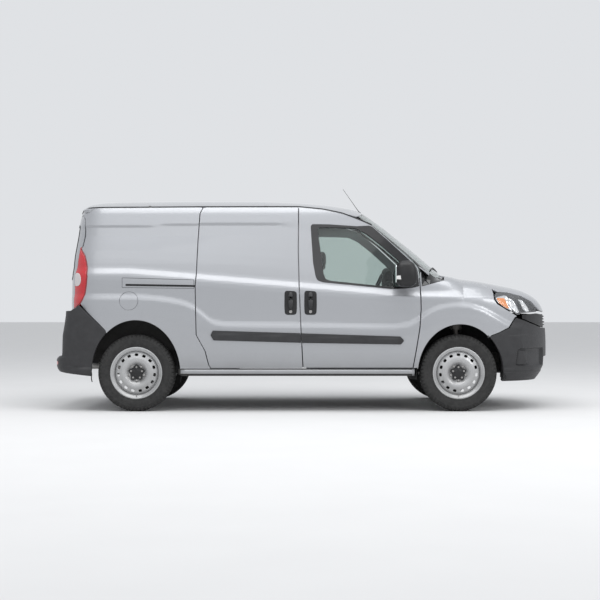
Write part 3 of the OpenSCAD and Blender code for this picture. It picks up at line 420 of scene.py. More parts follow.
def plastic_mat(name, c, rough, grain=0.35, scale=900.0, coat=0.0):
    m = Mat(name, Specular_IOR_Level=0.45, Coat_Weight=coat)
    m.set("Base Color", m.ramp(m.noise(14.0, 6.0, 0.6), [(0.3, [x * 0.85 for x in c]), (0.7, [x * 1.18 for x in c])]))
    m.set("Roughness", m.grey(m.noise(60.0, 4.0), rough - 0.06, rough + 0.07)); m.bump(m.voronoi(scale), grain, 0.0004); return m.m
PLAST = plastic_mat("grained_plastic", (0.027, 0.027, 0.029), 0.5)
TRIM = plastic_mat("black_trim", (0.010, 0.010, 0.011), 0.42, 0.2)
DARK = plastic_mat("dark_moulding", (0.022, 0.022, 0.024), 0.55)
DASHM = plastic_mat("dashboard_plastic", (0.045, 0.047, 0.052), 0.6, 0.5, 700.0)
LINER = plastic_mat("wheelarch_liner", (0.012, 0.012, 0.013), 0.8, 0.6, 200.0)
GLOSS = plastic_mat("gloss_black", (0.006, 0.006, 0.007), 0.12, 0.0, 900.0, 0.5)
RUBBER = plastic_mat("seal_rubber", (0.012, 0.012, 0.012), 0.7, 0.2, 1500.0)
CHASSIS = plastic_mat("chassis_black", (0.02, 0.019, 0.018), 0.7, 0.5, 120.0)
TANK = plastic_mat("tank_plastic", (0.016, 0.016, 0.017), 0.5, 0.3, 300.0)
def tyre_mat():
    m = Mat("tyre_rubber", Specular_IOR_Level=0.35); m.set("Base Color", m.ramp(m.noise(26.0, 8.0, 0.65), [(0.3, (0.020, 0.020, 0.020)), (0.7, (0.036, 0.0355, 0.035))]))
    m.set("Roughness", m.grey(m.noise(50.0, 5.0), 0.68, 0.88)); m.bump(m.noise(500.0, 4.0), 0.3, 0.0006); return m.m
TYRE = tyre_mat()
def metal_mat(name, c, rough, scale=90.0):
    m = Mat(name, Metallic=1.0); m.set("Base Color", m.ramp(m.noise(scale, 5.0, 0.6), [(0.3, [x * 0.8 for x in c]), (0.7, c)])); m.set("Roughness", m.grey(m.noise(scale * 2, 4.0), rough * 0.8, min(1, rough * 1.25))); m.bump(m.noise(scale * 4, 3.0), 0.05, 0.0004); return m.m
CHROME = metal_mat("lamp_reflector", (0.93, 0.94, 0.95), 0.07, 20.0)
STEEL = metal_mat("dull_steel", (0.42, 0.41, 0.40), 0.45)
CAST = metal_mat("cast_iron", (0.20, 0.19, 0.18), 0.62, 60.0)
def glass_mat(name, col, alpha, rough=0.02):
    m = Mat(name, Alpha=alpha, Specular_IOR_Level=0.6, IOR=1.5); m.b.inputs["Coat Weight"].default_value = 0.3
    m.set("Base Color", m.ramp(m.noise(3.0, 2.0), [(0.3, [c * 0.96 for c in col]), (0.7, col)])); m.set("Roughness", m.grey(m.noise(40.0, 5.0), rough, rough + 0.025)); return m.m
def pane_mat(name, col):
    m = Mat(name, IOR=1.45, Transmission_Weight=1.0); m.set("Base Color", m.ramp(m.noise(3.0, 2.0), [(0.3, [c * 0.985 for c in col]), (0.7, col)])); m.set("Roughness", m.grey(m.noise(14.0, 5.0), 0.0, 0.006)); return m.m
GLASS = pane_mat("tinted_glass", (0.66, 0.735, 0.71))
LENS = glass_mat("clear_lens", (0.60, 0.62, 0.64), 0.07)
PALE = Mat("pale_lens", Specular_IOR_Level=0.6, Coat_Weight=0.6); PALE.set("Base Color", PALE.ramp(PALE.scaled((1, 1, 1)), [(0.0, (0.66, 0.66, 0.65)), (1.0, (0.72, 0.71, 0.70))])); PALE.bump(PALE.noise(160.0, 2.0), 0.2, 0.0006); PALE.b.inputs["Roughness"].default_value = 0.2; PALE = PALE.m
def lens_mat(name, col, em=0.0):
    m = Mat(name, Roughness=0.12, Coat_Weight=0.8, Coat_Roughness=0.03, Specular_IOR_Level=0.6)
    w = m.n.new("ShaderNodeTexWave"); w.bands_direction = "Z"; w.inputs["Scale"].default_value = 34.0; w.inputs["Distortion"].default_value = 0.0; m.l.new(m.co, w.inputs["Vector"])
    m.set("Base Color", m.mix(w.outputs["Fac"], tuple(c * 0.72 for c in col) + (1.0,), tuple(col) + (1.0,))); m.bump(w.outputs["Fac"], 0.35, 0.0012); return m.m
RED = lens_mat("red_lens", (0.56, 0.004, 0.012)); DRED = lens_mat("dark_red_lens", (0.30, 0.004, 0.008)); AMBER = lens_mat("amber_lens", (0.83, 0.26, 0.03)); CLEARW = lens_mat("reverse_lens", (0.66, 0.62, 0.62))
def cloth_mat(name, c):
    m = Mat(name, Roughness=0.9, Sheen_Weight=0.4, Sheen_Roughness=0.45)
    a = m.n.new("ShaderNodeTexWave"); a.inputs["Scale"].default_value = 260.0; a.bands_direction = "Y"; a.inputs["Distortion"].default_value = 0.6; m.l.new(m.co, a.inputs["Vector"])
    b = m.n.new("ShaderNodeTexWave"); b.inputs["Scale"].default_value = 260.0; b.bands_direction = "Z"; b.inputs["Distortion"].default_value = 0.6; m.l.new(m.co, b.inputs["Vector"])
    w = m.math("MULTIPLY", a.outputs["Fac"], b.outputs["Fac"]); m.set("Base Color", m.mix(m.math("MULTIPLY", w, m.noise(18.0, 5.0)), tuple(x * 0.6 for x in c) + (1.0,), tuple(x * 1.6 for x in c) + (1.0,))); m.bump(w, 0.5, 0.0008); return m.m
CLOTH = cloth_mat("seat_cloth", (0.030, 0.031, 0.036)); CARPET = cloth_mat("load_lining", (0.05, 0.05, 0.052))
FLOORM = plastic_mat("load_floor", (0.06, 0.058, 0.055), 0.7, 0.5, 160.0)

# ------------------------------------------------------------------ outlines on the right side (x, z)
def inset(P, d, step=8.0):
    P = resample(P, step); t = np.roll(P, -1, 0) - np.roll(P, 1, 0); n = np.stack([t[:, 1], -t[:, 0]], -1); n /= np.maximum(1e-9, np.linalg.norm(n, axis=1))[:, None]
    return P - n * d * (1 if area2(P) > 0 else -1)
def offx(P, d): return [[x + d, z] for x, z in P]
DOOR_REAR = [[-22, 372], [-42, 759], [-55, 1064], [-63, 1369], [-60, 1752]]
SLIDE_REAR = [[-885, 1752], [-909, 1698], [-914, 1614], [-922, 1473], [-932, 1169], [-940, 1064], [-937, 911], [-930, 653], [-910, 615], [-856, 517], [-826, 395], [-811, 372]]
DOOR_FRONT = [[566, 1592], [700, 1475], [914, 1279], [957, 1226], [968, 1128], [973, 1030], [977, 873], [965, 715], [941, 558], [910, 372]]
WINDOW = [[92, 1574], [150, 1583], [424, 1575], [520, 1528], [651, 1424], [760, 1327], [842, 1250], [870, 1205], [868, 1110], [845, 1060], [731, 1056], [200, 1110], [160, 1128], [146, 1165]]
LAMP = [[1612, 988], [1630, 1013], [1672, 1024], [1751, 1015], [1869, 985], [1966, 932], [2026, 872], [2036, 846], [1860, 836], [1820, 820], [1716, 876], [1640, 925], [1618, 958]]
GUT = lambda x: float(gutter_z(x)) - 6
def arch_pts(cx, a, b, z0, a0, a1, n=40):
    return [[cx + a * math.cos(math.radians(t)), 330 + b * math.sin(math.radians(t))] for t in np.linspace(a0, a1, n)]

made = {}
def both(name, V, F, mat, body, N=None, replaces=(), slot=None, sharp=None, side_body=False):
    """the right-hand piece and its mirror image"""
    out = []
    for s in ("right", "left"):
        v, f, n = (V, F, N) if s == "right" else flip(V, F, N)
        bd = (body + "_" + s) if side_body else body
        rp = [r.replace("*", s) for r in replaces]
        out.append(make(name + "_" + s, v, f, mat, bd, n, rp, slot, sharp))
    return out

# front door
gut_door = [[x, GUT(x)] for x in np.linspace(-60, 540, 26)]
door = DOOR_REAR[:-1] + [[-60, GUT(-60)]] + gut_door[1:] + DOOR_FRONT
V, F, N = sheet_mesh(S_side, rounded(inset(door, 3.0), 0), [rounded(WINDOW, 26)], step=18, thick=52)
both("front_door_skin", V, F, PAINT, "front_door", N, ["front_door_*"], "paint", side_body=True)
def shifted(S, d): return lambda u, v: S(u, v) + np.array([0, d, 0.0])
# glass, its rubber channel and the inner card
V, F, N = sheet_mesh(shifted(S_side, 12), inset(WINDOW, -4), [], step=40, thick=4, roll=0.5)
both("door_window", V, F, GLASS, "front_door", N, ["door_glass_*"], "glass", side_body=True)
SUR = rounded([[42, 1586], [56, 1603], [200, 1601], [434, 1585], [540, 1590], [566, 1583], [696, 1468], [908, 1272], [950, 1222], [961, 1128], [965, 1070], [930, 1060], [845, 1050], [731, 1046], [150, 1102], [100, 1118], [84, 1150], [62, 1268], [49, 1468]], [8, 8, 0, 0, 0, 8, 0, 20, 20, 0, 6, 0, 0, 0, 20, 30, 20, 0, 0])
V, F, N = sheet_mesh(S_side, SUR, [inset(rounded(WINDOW, 26), 5)], step=22, thick=13, lift=1.6, roll=1.4)
both("window_surround", V, F, GLOSS, "front_door", N, (), "black_plastic", side_body=True)
card = [[30, 420], [10, 700], [-8, 1040], [850, 1030], [905, 1010], [915, 860], [880, 600], [850, 420]]
V, F, N = sheet_mesh(shifted(S_side, 52), rounded(card, 30), [], step=40, thick=6, lift=6, roll=3, outward=(0, 1, 0))
both("door_card", V, F, DASHM, "front_door", N, (), "black_plastic", side_body=True)

# sliding door
sl = [[x - 9.5, z] for x, z in DOOR_REAR[:-1]] + [[-69.5, GUT(-70)]] + [[x, GUT(x)] for x in np.linspace(-120, -850, 20)] + [[x + 2.5, z - (6 if z > 1740 else 0)] for x, z in SLIDE_REAR]
V, F, N = sheet_mesh(S_side, sl, [], step=18, thick=52)
both("sliding_door_skin", V, F, PAINT, "body", N, ["sliding_doors"], "paint")

# quarter panel round to the rear door
JAMB = [[790, 480], [790, 1180], [772, 1330], [735, 1500], [706, 1600], [680, 1655], [640, 1690]]
jy = lambda z: float(np.interp(z, [480, 1180, 1330, 1500, 1600, 1655, 1690], [790, 790, 772, 735, 706, 680, 640]))
def qx(x, z): return (q_from_x(x, z), z)
LAMP_T = [[-1893, 1334], [-1876, 1272], [-1866, 1212], [-1864, 1150], [-1870, 1080], [-1883, 1000], [-1905, 948], [-1926, 915]]
q = [qx(x - 9.5, z - (6 if z > 1740 else 0)) for x, z in SLIDE_REAR][::-1]
q = [qx(-820, 368)] + q + [qx(x, GUT(x)) for x in np.linspace(-920, -1860, 24)] + [qx(x, z - 5) for x, z in [[-1900, 1746], [-1940, 1734], [-1968, 1712], [-1985, 1694]]]
q += [(q_from_y(y, 1688), 1688) for y in (690, 660, 640)] + [(q_from_y(jy(z) + 3, z), z) for z in (1655, 1600, 1550, 1500, 1440, 1412)]
q += [qx(-1930, 1396)] + [qx(x + 4, z + 3) for x, z in LAMP_T]
arc = arch_pts(-1450, 380, 452, 330, 131, 4)
q += [qx(x, z) for x, z in [[-1850, 838], [-1760, 752], [-1703, 692]]] + [qx(x, z) for x, z in arc] + [qx(-1068, 368)]
FX, FZ = -1507.0, 943.0
circ = lambda r, n=60, o=0.0: np.array([[FX - o + r * math.cos(t), FZ + r * math.sin(t)] for t in np.linspace(0, 2 * math.pi, n, endpoint=False)])
V, F, N = sheet_mesh(S_quarter, np.array(q), [], step=15, thick=40)
V2, F2, N2 = flip(V, F, N); make("quarter_panel_skin_left", V2, F2, PAINT, "body", N2, ["quarter_panels"], "paint")
def S_open(u, v):
    """the quarter panel surface, passed through unchanged from S_quarter"""
    return S_quarter(u, v)
hole = np.array([(x - XR if x >= XR else q_from_x(x, z), z) for x, z in circ(81.5)])
V, F, N = sheet_mesh(S_quarter, np.array(q), [hole], step=15, thick=40)
make("quarter_panel_skin_right", V, F, PAINT, "body", N, ["quarter_panels"], "paint")

# tail lamp
tl = [(q_from_y(jy(z) - 24, z), z) for z in (870, 960, 1060, 1160, 1250, 1340, 1395)] + [(q_from_y(jy(z) - 3, z), z) for z in (1410,)] + [qx(-1934, 1394)] + [qx(x, z) for x, z in LAMP_T] + [qx(-1956, 888)]
V, F, N = sheet_mesh(S_quarter, inset(tl, 3), [], step=20, thick=30, lift=1.5, roll=4)
both("tail_lamp_border", V, F, DRED, "body", N, ["tail_lamps"], "lamp_red")
V, F, N = sheet_mesh(S_quarter, rounded(inset(tl, 12, 14), 0), [], step=20, thick=4, lift=4.5, roll=3)
both("tail_lamp_lens", V, F, RED, "body", N, (), "lamp_red")
rl = [(q_from_y(792, z), z) for z in (1070, 1182)] ; rv = [(u0 + 10 + 62 * k, 1126 + s) for k, s in []]
uq = q_from_y(jy(1126) - 24, 1126)
V, F, N = sheet_mesh(S_quarter, rounded([[uq + 14, 1070], [uq + 14, 1182], [uq + 70, 1176], [uq + 88, 1126], [uq + 70, 1076]], 24), [], step=16, thick=4, lift=6.5, roll=2.5)
both("reversing_lens", V, F, CLEARW, "body", N, (), "lamp_red")

# wing
def wp(x, z): return (x, wing_w(x, z=z))
bs = lambda x: float(np.interp(x, [1030, 1200, 1400, 1520, 1610, 1672], [700, 694, 692, 701, 722, 745]))
w = [wp(x + 9.5, z) for x, z in DOOR_FRONT[::-1][:7]] + [wp(986, 1064), wp(1040, 1078), wp(1090, 1092), wp(1140, 1106), wp(1186, 1119)]
w += [(x, wing_w(x, y=bs(x) + 5)) for x in (1200, 1240, 1290, 1340, 1390, 1440, 1490, 1540, 1580, 1600)]
w += [wp(1606, 1012), wp(1604, 985), wp(1606, 954), wp(1631, 916), wp(1710, 868), wp(1808, 813), wp(1790, 803), wp(1732, 719), wp(1650, 679), wp(1577, 651)]
w += [wp(x, z) for x, z in arch_pts(1315, 362, 417, 330, 47, 176)] + [wp(952, 375)]
V, F, N = sheet_mesh(S_wing, np.array(w), [], step=18, thick=30)
both("front_wing_skin", V, F, PAINT, "body", N, ["wings"], "paint")

# bonnet
be = lambda x: float(np.interp(x, [1030, 1200, 1400, 1560, 1672, 1751, 1869, 1966, 2022, 2050, 2130], [1152, 1120, 1078, 1040, 1023, 1017, 987, 934, 876, 853, 849]))
def by(x):
    if x < 1672: return bs(x)
    return float(ys(np.array(float(x)), np.array(be(x))))
xs_ = list(np.linspace(1150, 1672, 28)) + list(np.linspace(1690, 2100, 36))
rear = [(1244, 0), (1232, 300), (1196, 560), (1150, 690)]
bo = [(x, y) for x, y in rear[:1]] + [(x + 4, -y) for x, y in rear[1:]] + [(x, -(by(x) - 3)) for x in xs_ if x > 1160] + [(2112, -by(2108) + 30), (2116, -280), (2117, 0)]
bo = bo + [(x, -y) for x, y in bo[::-1] if abs(y) > 1]
V, F, N = sheet_mesh(S_hood, np.array(bo), [], step=16, thick=14, outward=(0, 0, 1))
make("bonnet_skin", V, F, PAINT, "bonnet", N, ["bonnet"], "paint")

# roof and screens
ro = [(-1968, 0), (-1966, -300), (-1952, -560), (-1925, -664), (-1880, -696), (-900, -702), (0, -702), (250, -698), (380, -688), (436, -670), (482, -520), (512, -250), (520, 0)]
ro = ro + [(x, -y) for x, y in ro[::-1][1:-1]]
V, F, N = sheet_mesh(S_roof, rounded(ro, 0), [], step=28, thick=28, outward=(0, 0, 1))
make("roof_skin", V, F, PAINT, "body", N, ["roof_panel"], "paint")
ws = [(526, 0), (518, -250), (488, -520), (448, -656), (600, -688), (800, -720), (1060, -750), (1120, -718), (1180, -560), (1215, -300), (1225, 0)]
ws = ws + [(x, -y) for x, y in ws[::-1][1:-1]]
WS = rounded(ws, 14)
V, F, N = sheet_mesh(S_roof, WS, [], step=34, thick=5, roll=1, outward=(0, 0, 1))
make("windscreen_glass", V, F, GLASS, "body", N, ["windscreen"], "glass")
V, F, N = sheet_mesh(S_roof, inset(WS, 2), [inset(WS, 34)], step=34, thick=2, lift=-6, roll=1, outward=(0, 0, 1))
make("windscreen_band", V, F, GLOSS, "body", N, (), "black_plastic")

# black pillar strip from the roof to the foot ahead of the door
OUT = resample([[480, 1644], [566, 1594], [708, 1480], [923, 1284], [965, 1230], [975, 1150], [985, 1070], [1090, 1097], [1186, 1122]], 26, False)
INN = resample([[440, -664], [600, -692], [800, -724], [1060, -754], [1122, -722], [1186, -600]], 26, False)
m_ = 60; so = np.linspace(0, 1, m_)
def along(P, t):
    L = np.concatenate([[0], np.cumsum(np.linalg.norm(np.diff(P, axis=0), axis=1))]); L /= L[-1]; return np.stack([np.interp(t, L, P[:, k]) for k in range(P.shape[1])], -1)
O2 = along(OUT, so); O3 = np.stack([O2[:, 0], -ys(O2[:, 0], O2[:, 1]) , O2[:, 1]], -1)
# pair each outer point with the screen edge at a similar station
key = np.interp(O2[:, 0] + 0.0 * so, [480, 708, 923, 965, 985, 1090, 1186], [0.0, 0.30, 0.62, 0.70, 0.74, 0.86, 1.0])
I2 = along(INN, np.maximum.accumulate(key)); I3 = np.stack([I2[:, 0], I2[:, 1], top(I2[:, 0], I2[:, 1]) + 1.0], -1)
k_ = 9; G = np.zeros((m_, k_ + 2, 3))
for j in range(k_):
    t = j / (k_ - 1); c = O3 * (1 - t) + I3 * t
    bul = 4 * t * (1 - t) * 9.0; c = c + np.array([0, -0.6, 0.8]) * bul; G[:, j + 1] = c
G[:, 0] = O3 + np.array([0, 22, -4]); G[:, -1] = I3 + np.array([0, 6, -14])
V, F = grid_mesh(G); V2 = V + np.array([0, 0, -3.0]); 
o = both("pillar_strip", V, F, GLOSS, "body", None, (), "black_plastic", 50)
for q_ in o:
    bm = bmesh.new(); bm.from_mesh(q_.data); bmesh.ops.recalc_face_normals(bm, faces=bm.faces); bmesh.ops.solidify(bm, geom=bm.faces[:], thickness=0.003); bm.to_mesh(q_.data); bm.free()

# ------------------------------------------------------------------ bumpers, grille, lamps
def nose_u_y(y, z):
    X = float(nose_profile(min(z, Z0))) - XF; B = float(half(np.array(1900.0), np.array(float(z)))); q = min(0.9999, y / B)
    return math.degrees(math.atan2(y, X * (1 - q ** NF) ** (1 / NF))) * KN
def nrm_of(S, u, v, h=2.0):
    a = S(u + h, v) - S(u - h, v); b = S(u, v + h) - S(u, v - h); n = np.cross(a, b); n /= np.maximum(1e-9, np.linalg.norm(n, axis=-1))[..., None]; return n
def rectm(u, v, u0, u1, v0, v1, s=8.0, r=20.0):
    """1 inside a rounded rectangle, falling to 0 over s mm"""
    cx, cy, hx, hy = (u0 + u1) / 2, (v0 + v1) / 2, (u1 - u0) / 2 - r, (v1 - v0) / 2 - r
    dx = np.maximum(np.abs(u - cx) - hx, 0); dy = np.maximum(np.abs(v - cy) - hy, 0); d = np.hypot(dx, dy) - r
    return sst(0.5 - d / s)
FU0, FU1, FU2 = nose_u_y(430, 460), nose_u(1815, 460), nose_u(1925, 460)
def S_fbump(u, v):
    P = S_nose(u, v); au = np.abs(u)
    n = np.stack([np.cos(np.radians(u / KN)), -np.sin(np.radians(u / KN)), 0 * u], -1)
    d = 22 * rectm(au, v, FU0, FU1, 384, 532, 16, 30) - 12 * rectm(au, v, FU2, FU1 - 14, 396, 516, 12, 20)
    d = d - 5 * sst((336 - v) / 8.0) * sst((v - 262) / 20.0) + 2.2 * np.exp(-((v - 338) / 3.5) ** 2)
    d = d + 3.0 * sst((v - 652 + 0.06 * (au - 700)) / 14.0) * sst((au - 640) / 120) * sst((1010 - au) / 80)
    return P - n * d[..., None]
def mirror_loop(L):
    """L runs from the middle (u=0) round the right side and back to the middle"""
    L = [tuple(map(float, p)) for p in L]; return L + [(-u, v) for u, v in L[::-1] if u > 1e-6]
fa = arch_pts(1315, 374, 417, 330, 0, 51, 14)
fb = [(0, 254)] + [(nose_u_y(y, 254), 254) for y in (200, 420, 620)] + [(nose_u(1800, 254), 254), (nose_u(1690, 254), 254)] + [(nose_u(x, z), z) for x, z in fa] + [(nose_u(x, z), z) for x, z in [(1549, 627), (1582, 641), (1745, 709), (1809, 795), (1850, 783), (1960, 748), (2080, 712)]] + [(nose_u_y(420, 703), 703), (0, 700)]
intake = rounded([[-nose_u_y(430, 395), 333], [nose_u_y(430, 395), 333], [nose_u_y(400, 395), 457], [-nose_u_y(400, 395), 457]], 22)
V, F, N = sheet_mesh(S_fbump, mirror_loop(fb), [intake], step=9, edge=7, thick=26, outward=(1, 0, 0))
make("front_bumper_skin", V, F, PLAST, "body", N, ["front_bumper"], "black_plastic")
# the grille: slats between the bumper and the bonnet, and a mesh in the lower intake
gu = lambda x, z: (nose_u(x, z), z)
gl = [(0, 717)] + [(nose_u_y(420, 720), 717)] + [gu(2080, 727), gu(1960, 764), gu(1868, 794), gu(1868, 824), gu(2036, 833), gu(2085, 826)] + [(nose_u_y(300, 824), 824), (0, 824)]
def S_grille(u, v):
    P = S_nose(u, v); n = np.stack([np.cos(np.radians(u / KN)), -np.sin(np.radians(u / KN)), 0 * u], -1)
    mid = sst((430 - np.abs(u)) / 90.0); ph = (v - 722) / 25.0
    return P - n * (3 + mid * 16 * sst(0.5 + 1.1 * np.cos(2 * math.pi * ph)))[..., None]
V, F, N = sheet_mesh(S_grille, mirror_loop(gl), [], step=7, edge=7, thick=8, outward=(1, 0, 0))
make("grille_slats", V, F, TRIM, "body", N, ["grille"], "black_plastic")
parts_ = []
for z in (348, 372, 396, 420, 444): parts_.append(tube([[float(nose_profile(z)) - 30 - 95 * (y / 440.0) ** 2, y, z] for y in np.linspace(-440, 440, 31)], 4.5, 8))
for y in np.linspace(-400, 400, 17): parts_.append(tube([[float(nose_profile(z)) - 33 - 95 * (y / 440.0) ** 2, y, z] for z in (335, 395, 455)], 3.0, 6))
make("intake_mesh", *join(*parts_), TRIM, "body", None, (), "black_plastic", 40)

lo = [(nose_u(x, z), z) for x, z in resample(LAMP, 10)]
LO = np.array(lo); LI = inset(LO, 4, 8)
rad = lambda u: np.stack([np.cos(np.radians(u / KN)), -np.sin(np.radians(u / KN)), 0 * u], -1)
V, F, N = sheet_mesh(S_nose, LI, [], step=12, edge=7, thick=3, lift=0.5, roll=2, outward=(0.7, -0.7, 0))
both("headlamp_lens", V, F, LENS, "body", N, ["headlamps"], "lamp_clear")
def S_bowl(u, v):
    d = seg_dist(LI, np.asarray(u, float), np.asarray(v, float)); return S_nose(u, v) - rad(u) * (5 + 30 * sst(d / 38.0) + 1.2 * np.sin(u / 3.0) * sst((d - 20) / 10))[..., None]
V, F, N = sheet_mesh(S_bowl, LI, [], step=8, edge=7, thick=3, roll=0.5, outward=(0.7, -0.7, 0))
both("headlamp_bezel", V, F, PLAST, "body", None, (), "black_plastic", 40)
def lamp_patch(name, pts, mat, depth, lift, step=8, slot="lamp_clear", ripple=0.0):
    L = np.array([(nose_u(x, z), z) for x, z in pts]); R = rounded(L, 8)
    def S(u, v):
        d = seg_dist(R, np.asarray(u, float), np.asarray(v, float)); return S_nose(u, v) - rad(u) * (lift + depth * sst(d / 26.0) + ripple * np.sin(v / 2.2))[..., None]
    V, F, N = sheet_mesh(S, R, [], step=step, edge=5, thick=4, roll=1.0, outward=(0.7, -0.7, 0)); both(name, V, F, mat, "body", N, (), slot)
lamp_patch("indicator_reflector", [(1626, 962), (1642, 978), (1700, 990), (1722, 990), (1772, 858), (1716, 882), (1648, 930)], CHROME, 10, 4.5)
lamp_patch("indicator_amber", [(1634, 968), (1700, 968), (1742, 880), (1722, 880), (1652, 926)], AMBER, 0, 3.6, slot="lamp_red", ripple=0.4)
lamp_patch("main_beam_reflector", [(1738, 968), (1770, 958), (1800, 920), (1836, 846), (1812, 838), (1770, 872), (1736, 920)], CHROME, 22, 4.0)
lamp_patch("dipped_beam_reflector", [(1830, 958), (1868, 950), (1942, 852), (1902, 850), (1872, 876)], CHROME, 22, 4.0)
for nm, (x, z) in {"main_bulb": (1782, 900), "dipped_bulb": (1888, 898)}.items():
    c = S_nose(np.array([nose_u(x, z)]), np.array([float(z)]))[0] - rad(np.array([nose_u(x, z)]))[0] * 14
    k = rad(np.array([nose_u(x, z)]))[0]; V, F = tube([c - k * 16, c - k * 4, c + k * 3, c + k * 7], [9, 10, 8, 3], 14); both(nm, V, F, PALE, "body", None, (), "lamp_clear", 40)

# rear bumper
def bu_x(x, z): return 90 * KT + (lambda A, B: -(90 - math.degrees(math.atan2(B * (1 - min(0.99999, (XR - x) / A) ** NB) ** (1 / NB), XR - x))) * KT)(XR - float(bumper_profile(z)), float(half(-1500, z)) + 3)
def bu_y(y, z): return 90 * KT + (lambda A, B: -(90 - math.degrees(math.atan2(y, A * (1 - min(0.99999, y / B) ** NB) ** (1 / NB)))) * KT)(XR - float(bumper_profile(z)), float(half(-1500, z)) + 3)
def S_rbump(u, v):
    P = S_bump(u, v); t = np.radians(np.abs(u) / KT); n = np.stack([-np.cos(t), -np.sign(u + 1e-9) * np.sin(t), 0 * u], -1)
    slit = rectm(np.abs(u), v, bu_y(560, 560), bu_y(735, 560), 548, 572, 6, 8)
    step_ = rectm(u, v, -bu_y(400, 560), bu_y(400, 560), 480, 650, 16, 30) * 0
    zc = 398 - 26 * ramp(np.abs(u), bu_y(760, 400), bu_x(-1850, 400)); side = sst((np.abs(u) - bu_y(600, 400)) / 300.0)
    return P - n * (6 * slit - side * 4 * sst((zc - v) / 9.0) * sst((v - 262) / 20.0) + 2.0 * side * np.exp(-((v - zc - 2) / 3.5) ** 2) + step_)[..., None]
rb = [(0, 322)] + [(bu_y(y, z), z) for y, z in ((300, 324), (600, 332), (760, 336))] + [(bu_x(-1830, 300), 300)] + [(bu_x(x, z), z) for x, z in arch_pts(-1450, 382, 454, 330, 180, 132, 14)] + [(bu_x(x, z), z) for x, z in [(-1706, 687), (-1762, 742), (-1852, 827), (-1937, 903), (-1958, 884), (-2008, 857)]] + [(bu_y(802, z), z) for z in (855, 760, 640, 520, 468)] + [(bu_y(760, 464), 464), (bu_y(400, 464), 464), (0, 464)]
V, F, N = sheet_mesh(S_rbump, mirror_loop(rb), [], step=13, edge=7, thick=24, outward=(-1, 0, 0))
make("rear_bumper_skin", V, F, PLAST, "body", N, ["rear_bumper"], "black_plastic")
def S_rb2(u, v): return S_rbump(u, v)
V, F, N = sheet_mesh(S_bump, rounded([[bu_y(640, 420), 398], [bu_y(640, 420), 424], [bu_y(765, 420), 424], [bu_y(765, 420), 398]], 8), [], step=10, edge=5, thick=4, lift=0.4, roll=1.2, outward=(-1, 0, 0))
both("rear_reflector", V, F, RED, "body", N, (), "lamp_red")

# ------------------------------------------------------------------ rear doors
def rear_door(name, side, ys_list, win, win_node):
    sg = -1 if side == "right" else 1
    a, b = ys_list  # inner y (signed), outer function of z
    zz = np.linspace(490, 1680, 30)
    L = [(tail_u(a, z), z) for z in zz] + [(tail_u(sg * (jy(z) - 9.5), z), z) for z in zz[::-1]]
    W = [(tail_u(y, z), z) for y, z in resample(win, 25)]
    V, F, N = sheet_mesh(S_tail_d, L, [rounded(W, 0)], step=22, thick=46, outward=(-1, 0, 0))
    make(name + "_skin", V, F, PAINT, name, N, [name], "paint")
    V, F, N = sheet_mesh(lambda u, v: S_tail(u, v) + np.array([9, 0, 0.0]), inset(W, -5, 20), [], step=50, thick=4, roll=0.5, outward=(-1, 0, 0))
    make(win_node + "_glass", V, F, GLASS, name, N, [win_node], "glass")
    V, F, N = sheet_mesh(S_tail_d, inset(W, -14, 20), [inset(W, 6, 20)], step=40, thick=10, lift=2.0, roll=1.5, outward=(-1, 0, 0))
    make(win_node + "_seal", V, F, RUBBER, name, N, (), "black_plastic")
    yy = [p[0] for p in win]; c0, c1 = (a + sg * 60, sg * 715)
    lo_, hi_ = [(tail_u(c0, z), z) for z in (560, 1080)], [(tail_u(c1, z), z) for z in (1080, 560)]
    V, F, N = sheet_mesh(lambda u, v: S_tail(u, v) + np.array([46, 0, 0.0]), rounded(lo_ + hi_, 30), [], step=60, thick=5, lift=5, roll=3, outward=(1, 0, 0))
    make(name + "_card", V, F, DASHM, name, N, (), "black_plastic")
def S_tail_d(u, v):
    P = S_tail(u, v); y = P[..., 1]; z = P[..., 2]
    m = rectm(y, z, -640, -190, 560, 800, 30, 30) + rectm(y, z, 0, 640, 560, 790, 30, 30)
    return P + np.stack([6.0 * m, 0 * m, 0 * m], -1)
WR = rounded([[-694, 1140], [-690, 1200], [-655, 1400], [-610, 1590], [-215, 1600], [-215, 1140]], 30)
WL = rounded([[-45 + 54, 1140], [-45 + 54, 1600], [610, 1590], [655, 1400], [690, 1200], [692, 1140]], 30)
rear_door("rear_door_right", "right", (-135.5, None), WR, "rear_window_right")
rear_door("rear_door_left", "left", (-123.5, None), WL, "rear_window_left")
V1 = block((-2117, -70, 838), (-2056, 432, 992), 12, 4); 
V2 = block((-2118, 40, 966), (-2108, 300, 984), 4, 3)
make("rear_handle_housing", *join(V1), PLAST, "rear_door_left", None, (), "black_plastic", 40)
make("plate_lamp_strip", *join(block((-2108, 90, 829), (-2090, 160, 837), 2, 2), block((-2108, 230, 829), (-2090, 300, 837), 2, 2)), PALE, "rear_door_left", None, (), "lamp_clear", 40)

